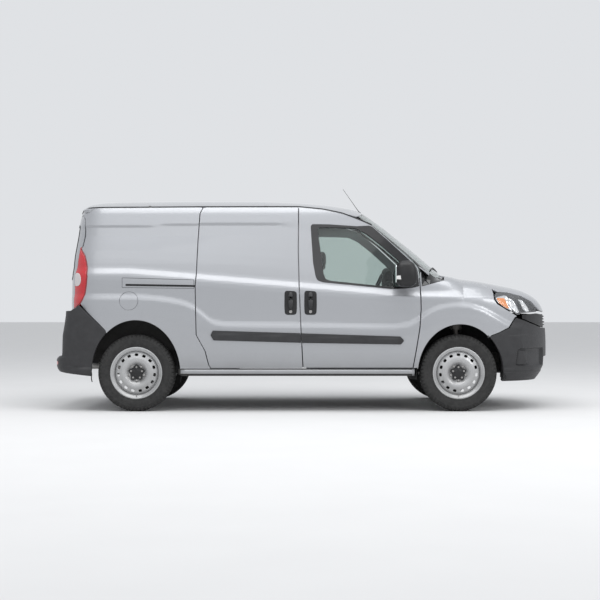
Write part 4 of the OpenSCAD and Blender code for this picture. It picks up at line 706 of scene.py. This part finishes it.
# ------------------------------------------------------------------ wheels
def rim_o(r): return np.interp(r, [0, 58, 66, 78, 92, 106, 120, 133, 146, 160, 170, 178, 184, 190], [40, 40, 41, 46, 60, 69, 72, 69, 62, 58, 55, 48, 42, 40])
rim_s = curve([[0, 38], [58, 38], [70, 40], [82, 50], [96, 62], [110, 68], [121, 70], [132, 68], [146, 61], [158, 58], [168, 56], [176, 50], [184, 43], [195, 40]], 4)
def wheel(tag, cx, sg, body):
    cy = sg * 762.0; side = sg
    S = lambda u, v: np.stack([cx + u, cy + sg * rim_s(np.hypot(u, v)), 328 + v], -1)
    C = np.array([[182 * math.cos(t), 182 * math.sin(t)] for t in np.linspace(0, 2 * math.pi, 120, endpoint=False)])
    holes = [np.array([[30 * math.cos(t), 30 * math.sin(t)] for t in np.linspace(0, 2 * math.pi, 30, endpoint=False)])]
    for k in range(15):
        a = math.radians(90 + 24 * k); c = np.array([math.cos(a), math.sin(a)]); d = np.array([-c[1], c[0]])
        holes.append(rounded([c * (156 + p * 12.5) + d * q_ * 16 for p, q_ in ((-1, -1), (-1, 1), (1, 1), (1, -1))], 10, 4))
    V, F, N = sheet_mesh(S, C, holes, step=7, edge=4, thick=4.5, roll=1.5, outward=(0, sg, 0))
    prof = [(214, -84), (223, -82), (223, -78), (212, -72), (206, -60), (200, -30), (190, 0), (190, 30), (201, 52), (206, 66), (213, 71), (221, 73), (223, 77), (222, 82), (218, 84), (213, 83), (209, 79), (205, 75), (199, 71), (193, 66), (189, 58), (187, 48), (184, 40), (180, 37), (184, 30), (184, 0), (194, -30), (200, -60), (208, -78)]
    B = lathe(prof, 144, (cx, cy, 328), sg, True); B = (B[0], B[1])
    make("rim_disc_" + tag, V, F, RIMP, body, N, ["rim_" + tag], "wheel_steel")
    o = make("rim_barrel_" + tag, *B, RIMP, body, None, (), "wheel_steel", 50); fix_normals(o); o.data.set_sharp_from_angle(angle=math.radians(50))
    # cap with five lobes, bolts and valve
    n = 100; G = []
    for f, h in ((1.0, 42), (1.0, 52), (0.96, 55.5), (0.86, 57), (0.60, 57.5), (0.50, 60), (0.44, 61.5), (0.2, 62), (0.02, 62)):
        G.append([[cx + math.cos(t) * f * (61 + 9 * math.cos(5 * (t - math.pi / 2))), cy + sg * h, 328 + math.sin(t) * f * (61 + 9 * math.cos(5 * (t - math.pi / 2)))] for t in np.linspace(0, 2 * math.pi, n, endpoint=False)])
    Vc, Fc = loft([np.array(g) for g in G]); bits = [(Vc, Fc)]
    o = make("wheel_cap_" + tag, *join(*bits), TRIM, body, None, (), "black_plastic", 40); fix_normals(o); o.data.set_sharp_from_angle(angle=math.radians(40))
    bits = []
    for k in range(5):
        a = math.radians(90 + 72 * k); bx, bz = cx + 49 * math.cos(a), 328 + 49 * math.sin(a)
        secs = [np.array([[bx + r * math.cos(t + 0.3), cy + sg * h, bz + r * math.sin(t + 0.3)] for t in np.linspace(0, 2 * math.pi, 6, endpoint=False)]) for r, h in ((9.5, 50), (9.5, 63), (8.2, 65), (3, 65))]
        bits.append(loft(secs))
        a = a + math.radians(36); bx, bz = cx + 65 * math.cos(a), 328 + 65 * math.sin(a)
        secs = [np.array([[bx + r * math.cos(t), cy + sg * h, bz + r * math.sin(t)] for t in np.linspace(0, 2 * math.pi, 16, endpoint=False)]) for r, h in ((10, 38), (10, 52), (7, 55), (1, 55))]
        bits.append(loft(secs))
    a = math.radians(-90); bits.append(tube([[cx + 196 * math.cos(a), cy + sg * h, 328 + (196 - k) * math.sin(a)] for k, h in ((0, 50), (4, 72), (8, 84))], [5, 4.5, 3.5], 10))
    o = make("wheel_bolts_" + tag, *join(*bits), STEEL, body, None, (), "steel", 35); fix_normals(o)
    o = make("brake_drum_" + tag, *lathe([(20, -20), (128, -20), (134, -14), (134, 10), (128, 16), (70, 20), (20, 22)], 72, (cx, cy, 328), sg, True), CAST, body, None, (), "steel", 35); fix_normals(o)
    # tyre
    P = [(219, 74), (221, 79), (226, 85), (233, 89), (236, 88), (240, 90.5), (252, 94.5), (264, 96.5), (276, 97.3), (283, 96.8), (285, 97.6), (289, 97.4), (291, 96.0), (300, 94.6), (307, 92.5), (313, 89.5), (318, 85.5), (322, 80.5), (325, 74), (326.4, 66), (327.0, 60), (327.1, 58.5), (319.5, 57.5), (319.5, 50), (327.4, 49), (327.8, 38), (327.9, 24), (319.8, 23), (319.8, 15), (327.9, 14), (328.0, 0)]
    P = P + [(r, -o_) for r, o_ in P[::-1][1:]] + [(212, -70), (209, 0), (212, 70)]
    P = np.array(P); n = 360; m = len(P); a = np.linspace(0, 2 * math.pi, n, endpoint=False); R = np.tile(P[:, 0], (n, 1)); O = np.tile(P[:, 1], (n, 1))
    ph = (np.arange(n) % 6) < 2; ph2 = ((np.arange(n) + 2) % 6) < 2
    for j in range(m):
        r, o_ = P[j]
        if 62 > abs(o_) > 59.5 or (66.5 >= abs(o_) >= 65 and r > 300) or (306 < r and 72 < abs(o_) < 93): R[ph, j] -= 5.5 if abs(o_) > 63 else 4; O[ph, j] -= np.sign(o_) * (2.2 if 72 < abs(o_) else 0)
        if r > 325 and 24 <= abs(o_) <= 49.5: R[ph2, j] -= 4
    V = np.stack([cx + R * np.cos(a)[:, None], cy + O * sg, 328 + R * np.sin(a)[:, None]], -1).reshape(-1, 3)
    F = [[i * m + k, i * m + (k + 1) % m, ((i + 1) % n) * m + (k + 1) % m, ((i + 1) % n) * m + k] for i in range(n) for k in range(m)]
    o = make("tyre_tread_" + tag, V, F, TYRE, body, None, ["tyre_" + tag], "tyre"); fix_normals(o); o.data.set_sharp_from_angle(angle=math.radians(32))
for tag, cx, sg in (("front_right", 1305, -1), ("front_left", 1305, 1), ("rear_right", -1450, -1), ("rear_left", -1450, 1)):
    wheel(tag, cx, sg, "wheel_" + tag)

# ------------------------------------------------------------------ trim along the sides
def strip(name, poly, lift, thick, mat, body, side_body=False, slot="black_plastic", r=6, step=14, roll=3.0, holes=(), S=S_side, rep=()):
    V, F, N = sheet_mesh(S, rounded(poly, r), [rounded(h_, max(1, r - 3)) for h_ in holes], step=step, edge=6, thick=thick, lift=lift, roll=roll)
    return both(name, V, F, mat, body, N, rep, slot, side_body=side_body)
def S_rub(u, v):
    zt = np.interp(u, [-804, -136, 826], [688, 666, 637]); zb = np.interp(u, [-804, -136, 826], [610, 591, 575]); t = (v - zb) / (zt - zb)
    P = S_side(u, v); P[..., 1] -= 4 * np.sin(math.pi * clamp(t, 0, 1)) - 1.6 * np.exp(-((t - 0.72) / 0.06) ** 2); return P
strip("door_rub_strip", [[-42, 665], [800, 638], [830, 606], [806, 578], [-34, 591]], 10, 9, PLAST, "front_door", True, r=5, S=S_rub, step=12)
strip("sliding_rub_strip", [[-51, 666], [-790, 688], [-808, 652], [-784, 612], [-45, 592]], 10, 9, PLAST, "body", r=5, S=S_rub, step=12)
def handle(tag, x0, x1, body, sb):
    strip(tag + "_dish", [[x0 + 4, 826], [x1 - 4, 826], [x1, 900], [x1 - 2, 1024], [x0 + 2, 1030], [x0, 900]], 1.6, 4, TRIM, body, sb, r=26, step=12, roll=1.5)
    xm = (x0 + x1) / 2; path = [[xm, -(float(ys(xm, z)) + d), z] for z, d in ((882, 0), (892, 9), (910, 12.5), (945, 13.5), (980, 12.5), (1000, 9), (1010, 0))]
    V1 = tube(path, [12, 15, 17, 18, 17, 15, 12], 16, True, 1.0); V1 = (np.array([[xm + (p[0] - xm) * 1.25, -(float(ys(xm, 940)) + 0) - (-(p[1]) - float(ys(xm, 940))) * 0.72, p[2]] for p in V1[0]]), V1[1])
    c = float(ys(xm, 852)); key_ = [np.array([[xm + r * math.cos(t), -(c + h), 852 + r * math.sin(t)] for t in np.linspace(0, 2 * math.pi, 24, endpoint=False)]) for r, h in ((13, 0), (13, 4.5), (11, 6), (9, 5), (1, 5))]
    V, F = join(V1); o = both(tag + "_grip", V, F, PLAST, body, None, (), "black_plastic", 40, sb)
    V, F = loft(key_); o = both(tag + "_lock", V, F, STEEL, body, None, (), "steel", 40, sb); [fix_normals(x) for x in o]
handle("front_handle", -14, 91, "front_door", True); handle("sliding_handle", -183, -78, "body", False)
strip("slide_track_slot", [[-1535, 1071], [-1535, 1088], [-945, 1078], [-945, 1062]], 0.7, 3, GLOSS, "body", r=4, step=20, roll=0.6, S=S_side)
trk = [[-1566, 1056], [-1566, 1141], [-952, 1124], [-952, 1048]]
ring = lambda P, d: inset(rounded(P, 6), d, 10)
V, F, N = sheet_mesh(S_side, ring(trk, 0), [ring(trk, 3)], step=30, edge=8, thick=2, lift=0.3, roll=0.3); both("slide_track_cover_gap", V, F, TRIM, "body", N, (), "black_plastic")
# drip moulding along the roof
dx = np.concatenate([np.linspace(-1978, -1880, 8), np.linspace(-1840, 100, 50), np.linspace(140, 566, 18)])
V, F = tube([[x, -(float(ys(x, gutter_z(x) - 3)) + 1.0), float(gutter_z(x)) - 1] for x in dx], 4.6, 8); both("roof_drip_moulding", V, F, TRIM, "body", None, (), "black_plastic", 60)
# sill
prof = [(-826, 366), (-856, 364), (-868, 356), (-873, 344), (-872, 330), (-862, 312), (-846, 303), (-800, 302)]
G = np.array([[[x, y, z] for y, z in prof] for x in np.linspace(-1068, 925, 40)]); V, F = grid_mesh(G)
for o in both("sill_skin", V, F, PAINT, "body", None, (), "paint", 50):
    bm = bmesh.new(); bm.from_mesh(o.data); bmesh.ops.recalc_face_normals(bm, faces=bm.faces); bmesh.ops.solidify(bm, geom=bm.faces[:], thickness=0.002); bm.to_mesh(o.data); bm.free()
# arch liners
def liner(tag, cx, a, b, y0, y1, a0, a1):
    P = []
    for k, t in enumerate(np.linspace(a0, a1, 60)):
        t = math.radians(t); e = 1.0 - 0.006 * (k % 2); P.append([[cx + a * e * g * math.cos(t), y, 330 + b * e * math.sin(t)] for y, g in ([(y0, 1), (y0 + 40, 1), (y0 + 85, 1.10), (y1, 1.10)] if tag == "front" else [(y0, 1), ((y0 + y1) / 2, 1), (y1, 1)])])
    V, F = grid_mesh(np.array(P)); 
    for o in both("arch_liner_" + tag, V, F, LINER, "body", None, (), "chassis"):
        bm = bmesh.new(); bm.from_mesh(o.data); bmesh.ops.solidify(bm, geom=bm.faces[:], thickness=0.003); bmesh.ops.recalc_face_normals(bm, faces=bm.faces); bm.to_mesh(o.data); bm.free()
for nm_, cx_, a_, b_, yw in (("front", 1315, 409, 426, 425),):
    P_ = [[cx_ + a_ * math.cos(math.radians(t)), 330 + b_ * math.sin(math.radians(t))] for t in np.linspace(0, 180, 50)] + [[cx_ - a_, 316], [cx_ + a_, 316]]
    V, F, N = sheet_mesh(lambda u, v: np.stack([u, -yw + 0 * u, v], -1), np.array(P_), [], step=60, edge=20, thick=3, roll=0.5)
    both("arch_inner_" + nm_, V, F, LINER, "body", N, (), "chassis")
liner("rear", -1450, 384, 457, -852, -818, -10, 190); liner("front", 1315, 372, 426, -846, -428, -8, 188)
# ------------------------------------------------------------------ mirrors
secs = []
for t in np.linspace(0, 1, 19):
    y = -(898 + 175 * t); e = (1 - (abs(t - 0.45) / 0.55) ** 4.0 * 0.34 if t > 0.45 else 1 - (abs(t - 0.45) / 0.45) ** 3 * 0.30)
    if t > 0.93: e -= 0.06 * ((t - 0.93) / 0.07) ** 2
    ring_ = []
    for a_ in np.linspace(0, 2 * math.pi, 56, endpoint=False):
        c, s_ = math.cos(a_), math.sin(a_); p = 2 / 3.2; px = math.copysign(abs(c) ** p, c); pz = math.copysign(abs(s_) ** p, s_)
        zz_ = 1168 + (114 if s_ > 0 else 110) * pz * e; w_ = 92 - (26 * clamp((zz_ - 1168) / 114, 0, 1) ** 1.6) if c > 0 else 90
        ring_.append([max(758.0, 846 + w_ * px * e), y, zz_])
    secs.append(np.array(ring_))
V, F = loft(secs); arm = block((800, -908, 1086), (900, -866, 1142), 14, 3)
for o in both("mirror_housing", *join((V, F), arm), TRIM, "front_door", None, ["mirror_*"], "black_plastic", 35, True): fix_normals(o); o.data.set_sharp_from_angle(angle=math.radians(35))
gl_ = [np.array([[756.0 + h_, -986 + (62 - r_) * c1, 1172 + (78 - r_) * s1] for c1, s1 in [(math.copysign(abs(math.cos(t)) ** 0.5, math.cos(t)), math.copysign(abs(math.sin(t)) ** 0.5, math.sin(t))) for t in np.linspace(0, 2 * math.pi, 40, endpoint=False)]]) for r_, h_ in ((0, 4), (0, 0.5), (2, 0), (40, 0))]
for o in both("mirror_glass", *loft(gl_), CHROME, "front_door", None, (), "glass", 35, True): fix_normals(o)
def S_mlens(u, v): 
    return np.stack([u, -(1072.5 - 26 * clamp((u - 800) / 90.0, 0, 2) ** 2 - 8 * clamp((790 - u) / 30.0, 0, 1) ** 2), v], -1)
V, F, N = sheet_mesh(S_mlens, rounded([[758, 1126], [757, 1150], [884, 1160], [894, 1144], [880, 1124]], 9), [], step=9, edge=4, thick=14, roll=3); both("mirror_indicator", V, F, PALE, "front_door", N, (), "lamp_clear", side_body=True)
# ------------------------------------------------------------------ wipers, antenna
def wiper(tag, y0, y1, x0, x1, pv):
    pts = [[x0 + (x1 - x0) * t, y0 + (y1 - y0) * t, 0] for t in np.linspace(0, 1, 14)]
    for p in pts: p[2] = float(top(p[0], p[1])) + 5
    bl = tube([[p[0], p[1], p[2]] for p in pts], 3.0, 8); sp = tube([[p[0], p[1], p[2] + 6] for p in pts], 4.5, 8)
    mid = pts[7]; ar = tube([[pv[0], pv[1], float(top(*pv)) + 10], [(pv[0] + mid[0]) / 2, (pv[1] + mid[1]) / 2, float(top((pv[0] + mid[0]) / 2, (pv[1] + mid[1]) / 2)) + 9], [mid[0], mid[1], mid[2] + 7]], [8, 6, 4], 10)
    make("wiper_" + tag, *join(bl, sp, ar), TRIM, "body", None, ["wipers"], "black_plastic", 50)
wiper("right", -120, -640, 1170, 1085, (1196, -60)); wiper("left", 470, -60, 1150, 1176, (1150, 560))
ax = np.array([497, 0, 1754.0]); dr = np.array([math.sin(math.radians(-35)), 0, math.cos(math.radians(35))])
base = [np.array([[495 + ox + r * 1.4 * math.cos(t), r * math.sin(t), z_ + 0.42 * -(ox + r * 1.4 * math.cos(t))] for t in np.linspace(0, 2 * math.pi, 24, endpoint=False)]) for r, z_, ox in ((15, 1744, 0), (14, 1751, 0), (10, 1760, 0), (5, 1766, -2), (1, 1767, -2))]
V, F = join(tube([ax + dr * t for t in (0, 60, 140, 220, 267)], [3.4, 2.4, 2.0, 1.7, 1.5], 10), loft(base)); o = make("antenna_mast", V, F, TRIM, "body", None, ["antenna"], "black_plastic", 50); fix_normals(o)
# ------------------------------------------------------------------ fuel flap
flap_o = np.array([(x - XR if x >= XR else q_from_x(x, z), z) for x, z in circ(75.5)])
V, F, N = sheet_mesh(S_quarter, flap_o, [], step=12, edge=6, thick=4, lift=0.3, roll=1.8); make("fuel_flap_skin", V, F, PAINT, "fuel_flap", N, ["fuel_flap"], "paint")
pocket = [np.array([[FX + r * math.cos(t), -y_, FZ + r * math.sin(t)] for t in np.linspace(0, 2 * math.pi, 48, endpoint=False)]) for r, y_ in ((89, 858), (86, 868), (84, 868), (80, 846), (60, 836), (1, 834))]
V, F = loft(pocket, False); o = make("fuel_pocket", V, F, DARK, "body", None, (), "black_plastic", 40)
bm = bmesh.new(); bm.from_mesh(o.data); bmesh.ops.recalc_face_normals(bm, faces=bm.faces); bmesh.ops.solidify(bm, geom=bm.faces[:], thickness=0.002); bm.to_mesh(o.data); bm.free()
fcap = [np.array([[FX + 6 + r * (1 + 0.05 * math.cos(12 * t)) * math.cos(t), -y_, FZ - 4 + r * (1 + 0.05 * math.cos(12 * t)) * math.sin(t)] for t in np.linspace(0, 2 * math.pi, 72, endpoint=False)]) for r, y_ in ((34, 833), (34, 850), (31, 853), (14, 854), (1, 854))]
V, F = loft(fcap); o = make("fuel_filler_cap", V, F, TRIM, "body", None, (), "black_plastic", 40); fix_normals(o)

# ------------------------------------------------------------------ cab
def cushion(name, frame_, a, b, c, e=0.38, seams=(), n=64, crown=0.10, mat=None, seat_side=1):
    """a stuffed form: half sizes a, b, c in its own frame; seams are (axis, place) grooves across the top"""
    th = np.linspace(-math.pi / 2, math.pi / 2, n // 2 + 1); ph = np.linspace(0, 2 * math.pi, n * 2, endpoint=False); sp = lambda v_, p: np.sign(v_) * np.abs(v_) ** p
    T, PH = np.meshgrid(th, ph, indexing="ij"); X = a * sp(np.cos(T), 0.55) * sp(np.cos(PH), e); Y = b * sp(np.cos(T), 0.55) * sp(np.sin(PH), e); Z = c * sp(np.sin(T), 0.75)
    Z = Z * (1 + crown * (1 - (X / a) ** 2) * (1 - (Y / b) ** 2)) * 0.94
    pull = 1 - 0.035 * np.exp(-(Z / (0.35 * c)) ** 2); X = X * pull; Y = Y * pull
    for axn, at in seams:
        q_ = X if axn == "x" else Y; s_g = c * 0.16 * np.exp(-((q_ - at) / 7.0) ** 2) * (Z > 0); Z = Z - s_g
    P = np.stack([X, Y, Z], -1).reshape(-1, 3); o_, ex, ey, ez = frame_; W = np.array(o_) + P[:, :1] * np.array(ex) + P[:, 1:2] * np.array(ey) + P[:, 2:] * np.array(ez)
    m = len(ph); F = [[i * m + k, i * m + (k + 1) % m, (i + 1) * m + (k + 1) % m, (i + 1) * m + k] for i in range(len(th) - 1) for k in range(m)]
    bm = bmesh.new(); vs = [bm.verts.new(v) for v in W / 1000.0]
    for f in F:
        bm.faces.new([vs[i] for i in f])
    bmesh.ops.remove_doubles(bm, verts=bm.verts, dist=0.0002); bmesh.ops.dissolve_degenerate(bm, edges=bm.edges, dist=0.00005); bmesh.ops.recalc_face_normals(bm, faces=bm.faces)
    me = bpy.data.meshes.new(name); bm.to_mesh(me); bm.free(); me.materials.append(mat or CLOTH); me.polygons.foreach_set("use_smooth", [True] * len(me.polygons))
    o = bpy.data.objects.new(name, me); bpy.context.scene.collection.objects.link(o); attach(o, "body"); return o
for s, yc in (("right", -390), ("left", 390)):
    A = math.radians(5)
    o = cushion("seat_cushion_" + s, ((345, yc, 632), (math.cos(A), 0, math.sin(A)), (0, 1, 0), (-math.sin(A), 0, math.cos(A))), 250, 228, 60, seams=[("y", -150), ("y", 150), ("x", 60), ("x", -70)]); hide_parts("seats")
    B = math.radians(7)
    up = (-math.sin(B), 0, math.cos(B)); fw = (math.cos(B), 0, math.sin(B))
    cushion("seat_back_" + s, ((152, yc, 945), tuple(-np.array(up)), (0, 1, 0), fw), 272, 222, 52, seams=[("y", -140), ("y", 140), ("x", 60), ("x", -90)])
    cushion("seat_headrest_" + s, ((139, yc, 1300), (0, 0, -1), (0, 1, 0), (1, 0, 0)), 82, 128, 40, e=0.5, seams=[("x", 40)])
    bits = [tube([[125, yc + d, 1195], [135, yc + d, 1235]], 6, 10) for d in (-60, 60)] + [block((140, yc - 200, 400), (480, yc + 200, 566), 20, 3), block((100, yc - 236, 560), (230, yc + 236, 640), 18, 3)]
    make("seat_base_" + s, *join(*bits), DARK, "body", None, (), "black_plastic", 40)
# dashboard and wheel
pr = [(764, 852), (762, 940), (768, 985), (786, 1000), (828, 1022), (836, 1048), (850, 1057), (868, 1058), (878, 1046), (880, 990), (878, 852)]
G = [np.array([[x + 4 * math.cos(y / 260.0), y, z - (6 if abs(y) > 700 else 0)] for x, z in pr]) for y in np.linspace(-752, 752, 40)]
V, F = loft([np.clip(g, [762, -756, 852], [881, 756, 1058]) for g in G]); o = make("dashboard_top", V, F, DASHM, "body", None, ["dashboard"], "black_plastic", 50); fix_normals(o); o.data.set_sharp_from_angle(angle=math.radians(50))
o = make("steering_column_cowl", *tube([[698, 370, 1021], [740, 370, 1004], [775, 370, 990]], [30, 33, 34], 20), DASHM, "body", None, (), "black_plastic", 40)
def sw(P):  # wheel frame to the van
    A = math.radians(112); x, y, z = P[:, 0], P[:, 1], P[:, 2]; return np.stack([660 + x * math.cos(A) + z * math.sin(A), 370 + y, 1037 - x * math.sin(A) + z * math.cos(A)], -1)
bits = [tube([[172 * math.cos(t), 172 * math.sin(t), 0] for t in np.linspace(0, 2 * math.pi, 73)], 12.5, 14, False)]
for a_ in (0, 90, 180, 270):
    c, s = math.cos(math.radians(a_)), math.sin(math.radians(a_)); bits.append(tube([[50 * c, 50 * s, 0], [100 * c, 100 * s, -2], [166 * c, 166 * s, 0]], [13, 9, 10], 12, True, 0.6))
bits.append(loft([np.array([[r * math.cos(t), r * math.sin(t), h_] for t in np.linspace(0, 2 * math.pi, 40, endpoint=False)]) for r, h_ in ((1, -12), (40, -12), (56, -6), (59, 4), (50, 20), (24, 22), (20, 60), (20, 100), (1, 100))]))
V, F = join(*bits); o = make("steering_wheel_rim", sw(V), F, DASHM, "steering_wheel", None, ["steering_wheel"], "black_plastic", 40); fix_normals(o)

# ------------------------------------------------------------------ the CAD pieces that stay
for n_, m_k in (("underbody", CHASSIS), ("firewall", CHASSIS), ("pillars", PAINT), ("engine_block", CAST), ("front_subframe", CHASSIS), ("rear_axle", CHASSIS), ("fuel_tank", TANK), ("exhaust", STEEL), ("roof_rack_bosses", STEEL), ("knuckle_right", CAST), ("knuckle_left", CAST)):
    ob = frame["nodes"][n_]
    if len(ob.material_slots):
        for sl_ in ob.material_slots: sl_.material = m_k

# ------------------------------------------------------------------ stage
FLM = Mat("studio_floor", Roughness=0.9, Specular_IOR_Level=0.1); FLM.set("Base Color", FLM.ramp(FLM.noise(2.0, 2.0), [(0.0, (0.70, 0.70, 0.70)), (1.0, (0.73, 0.73, 0.73))])); FLM = FLM.m
me = bpy.data.meshes.new("studio_floor"); s_ = 60.0; me.from_pydata([(-s_, -s_, 0), (s_, -s_, 0), (s_, s_, 0), (-s_, s_, 0)], [], [(0, 1, 2, 3)]); me.materials.append(FLM)
fl = bpy.data.objects.new("studio_floor", me); bpy.context.scene.collection.objects.link(fl)
w_ = bpy.data.worlds.new("studio"); bpy.context.scene.world = w_; w_.use_nodes = True; w_.node_tree.nodes["Background"].inputs[0].default_value = (0.93, 0.95, 0.98, 1); w_.node_tree.nodes["Background"].inputs[1].default_value = 0.80
def area_light(name, loc, at, size, power, col=(1, 1, 1)):
    l = bpy.data.lights.new(name, "AREA"); l.shape = "RECTANGLE"; l.size, l.size_y = size; l.energy = power; l.color = col
    o = bpy.data.objects.new(name, l); bpy.context.scene.collection.objects.link(o); o.location = loc
    o.rotation_euler = (Vector(at) - Vector(loc)).to_track_quat("-Z", "Y").to_euler(); return o
area_light("overhead", (0, -2.5, 7.5), (0, 0, 0.8), (9, 6), 420)
area_light("side", (-2.5, -9.5, 5.0), (0, 0, 0.9), (8, 3.5), 70)
area_light("front_side", (7.0, -7.0, 5.0), (0.3, 0, 0.9), (3.5, 3.0), 170)
cam = bpy.data.cameras.new("camera"); cam.lens = 77.69; cam.sensor_width = 36.0; cam.shift_y = 0.01; cam.clip_end = 200
co = bpy.data.objects.new("camera", cam); bpy.context.scene.collection.objects.link(co); co.location = (-0.051, -11.9, 0.900); co.rotation_euler = (math.radians(90), 0, 0)
bpy.context.scene.camera = co
bpy.context.scene.view_settings.view_transform = "Standard"
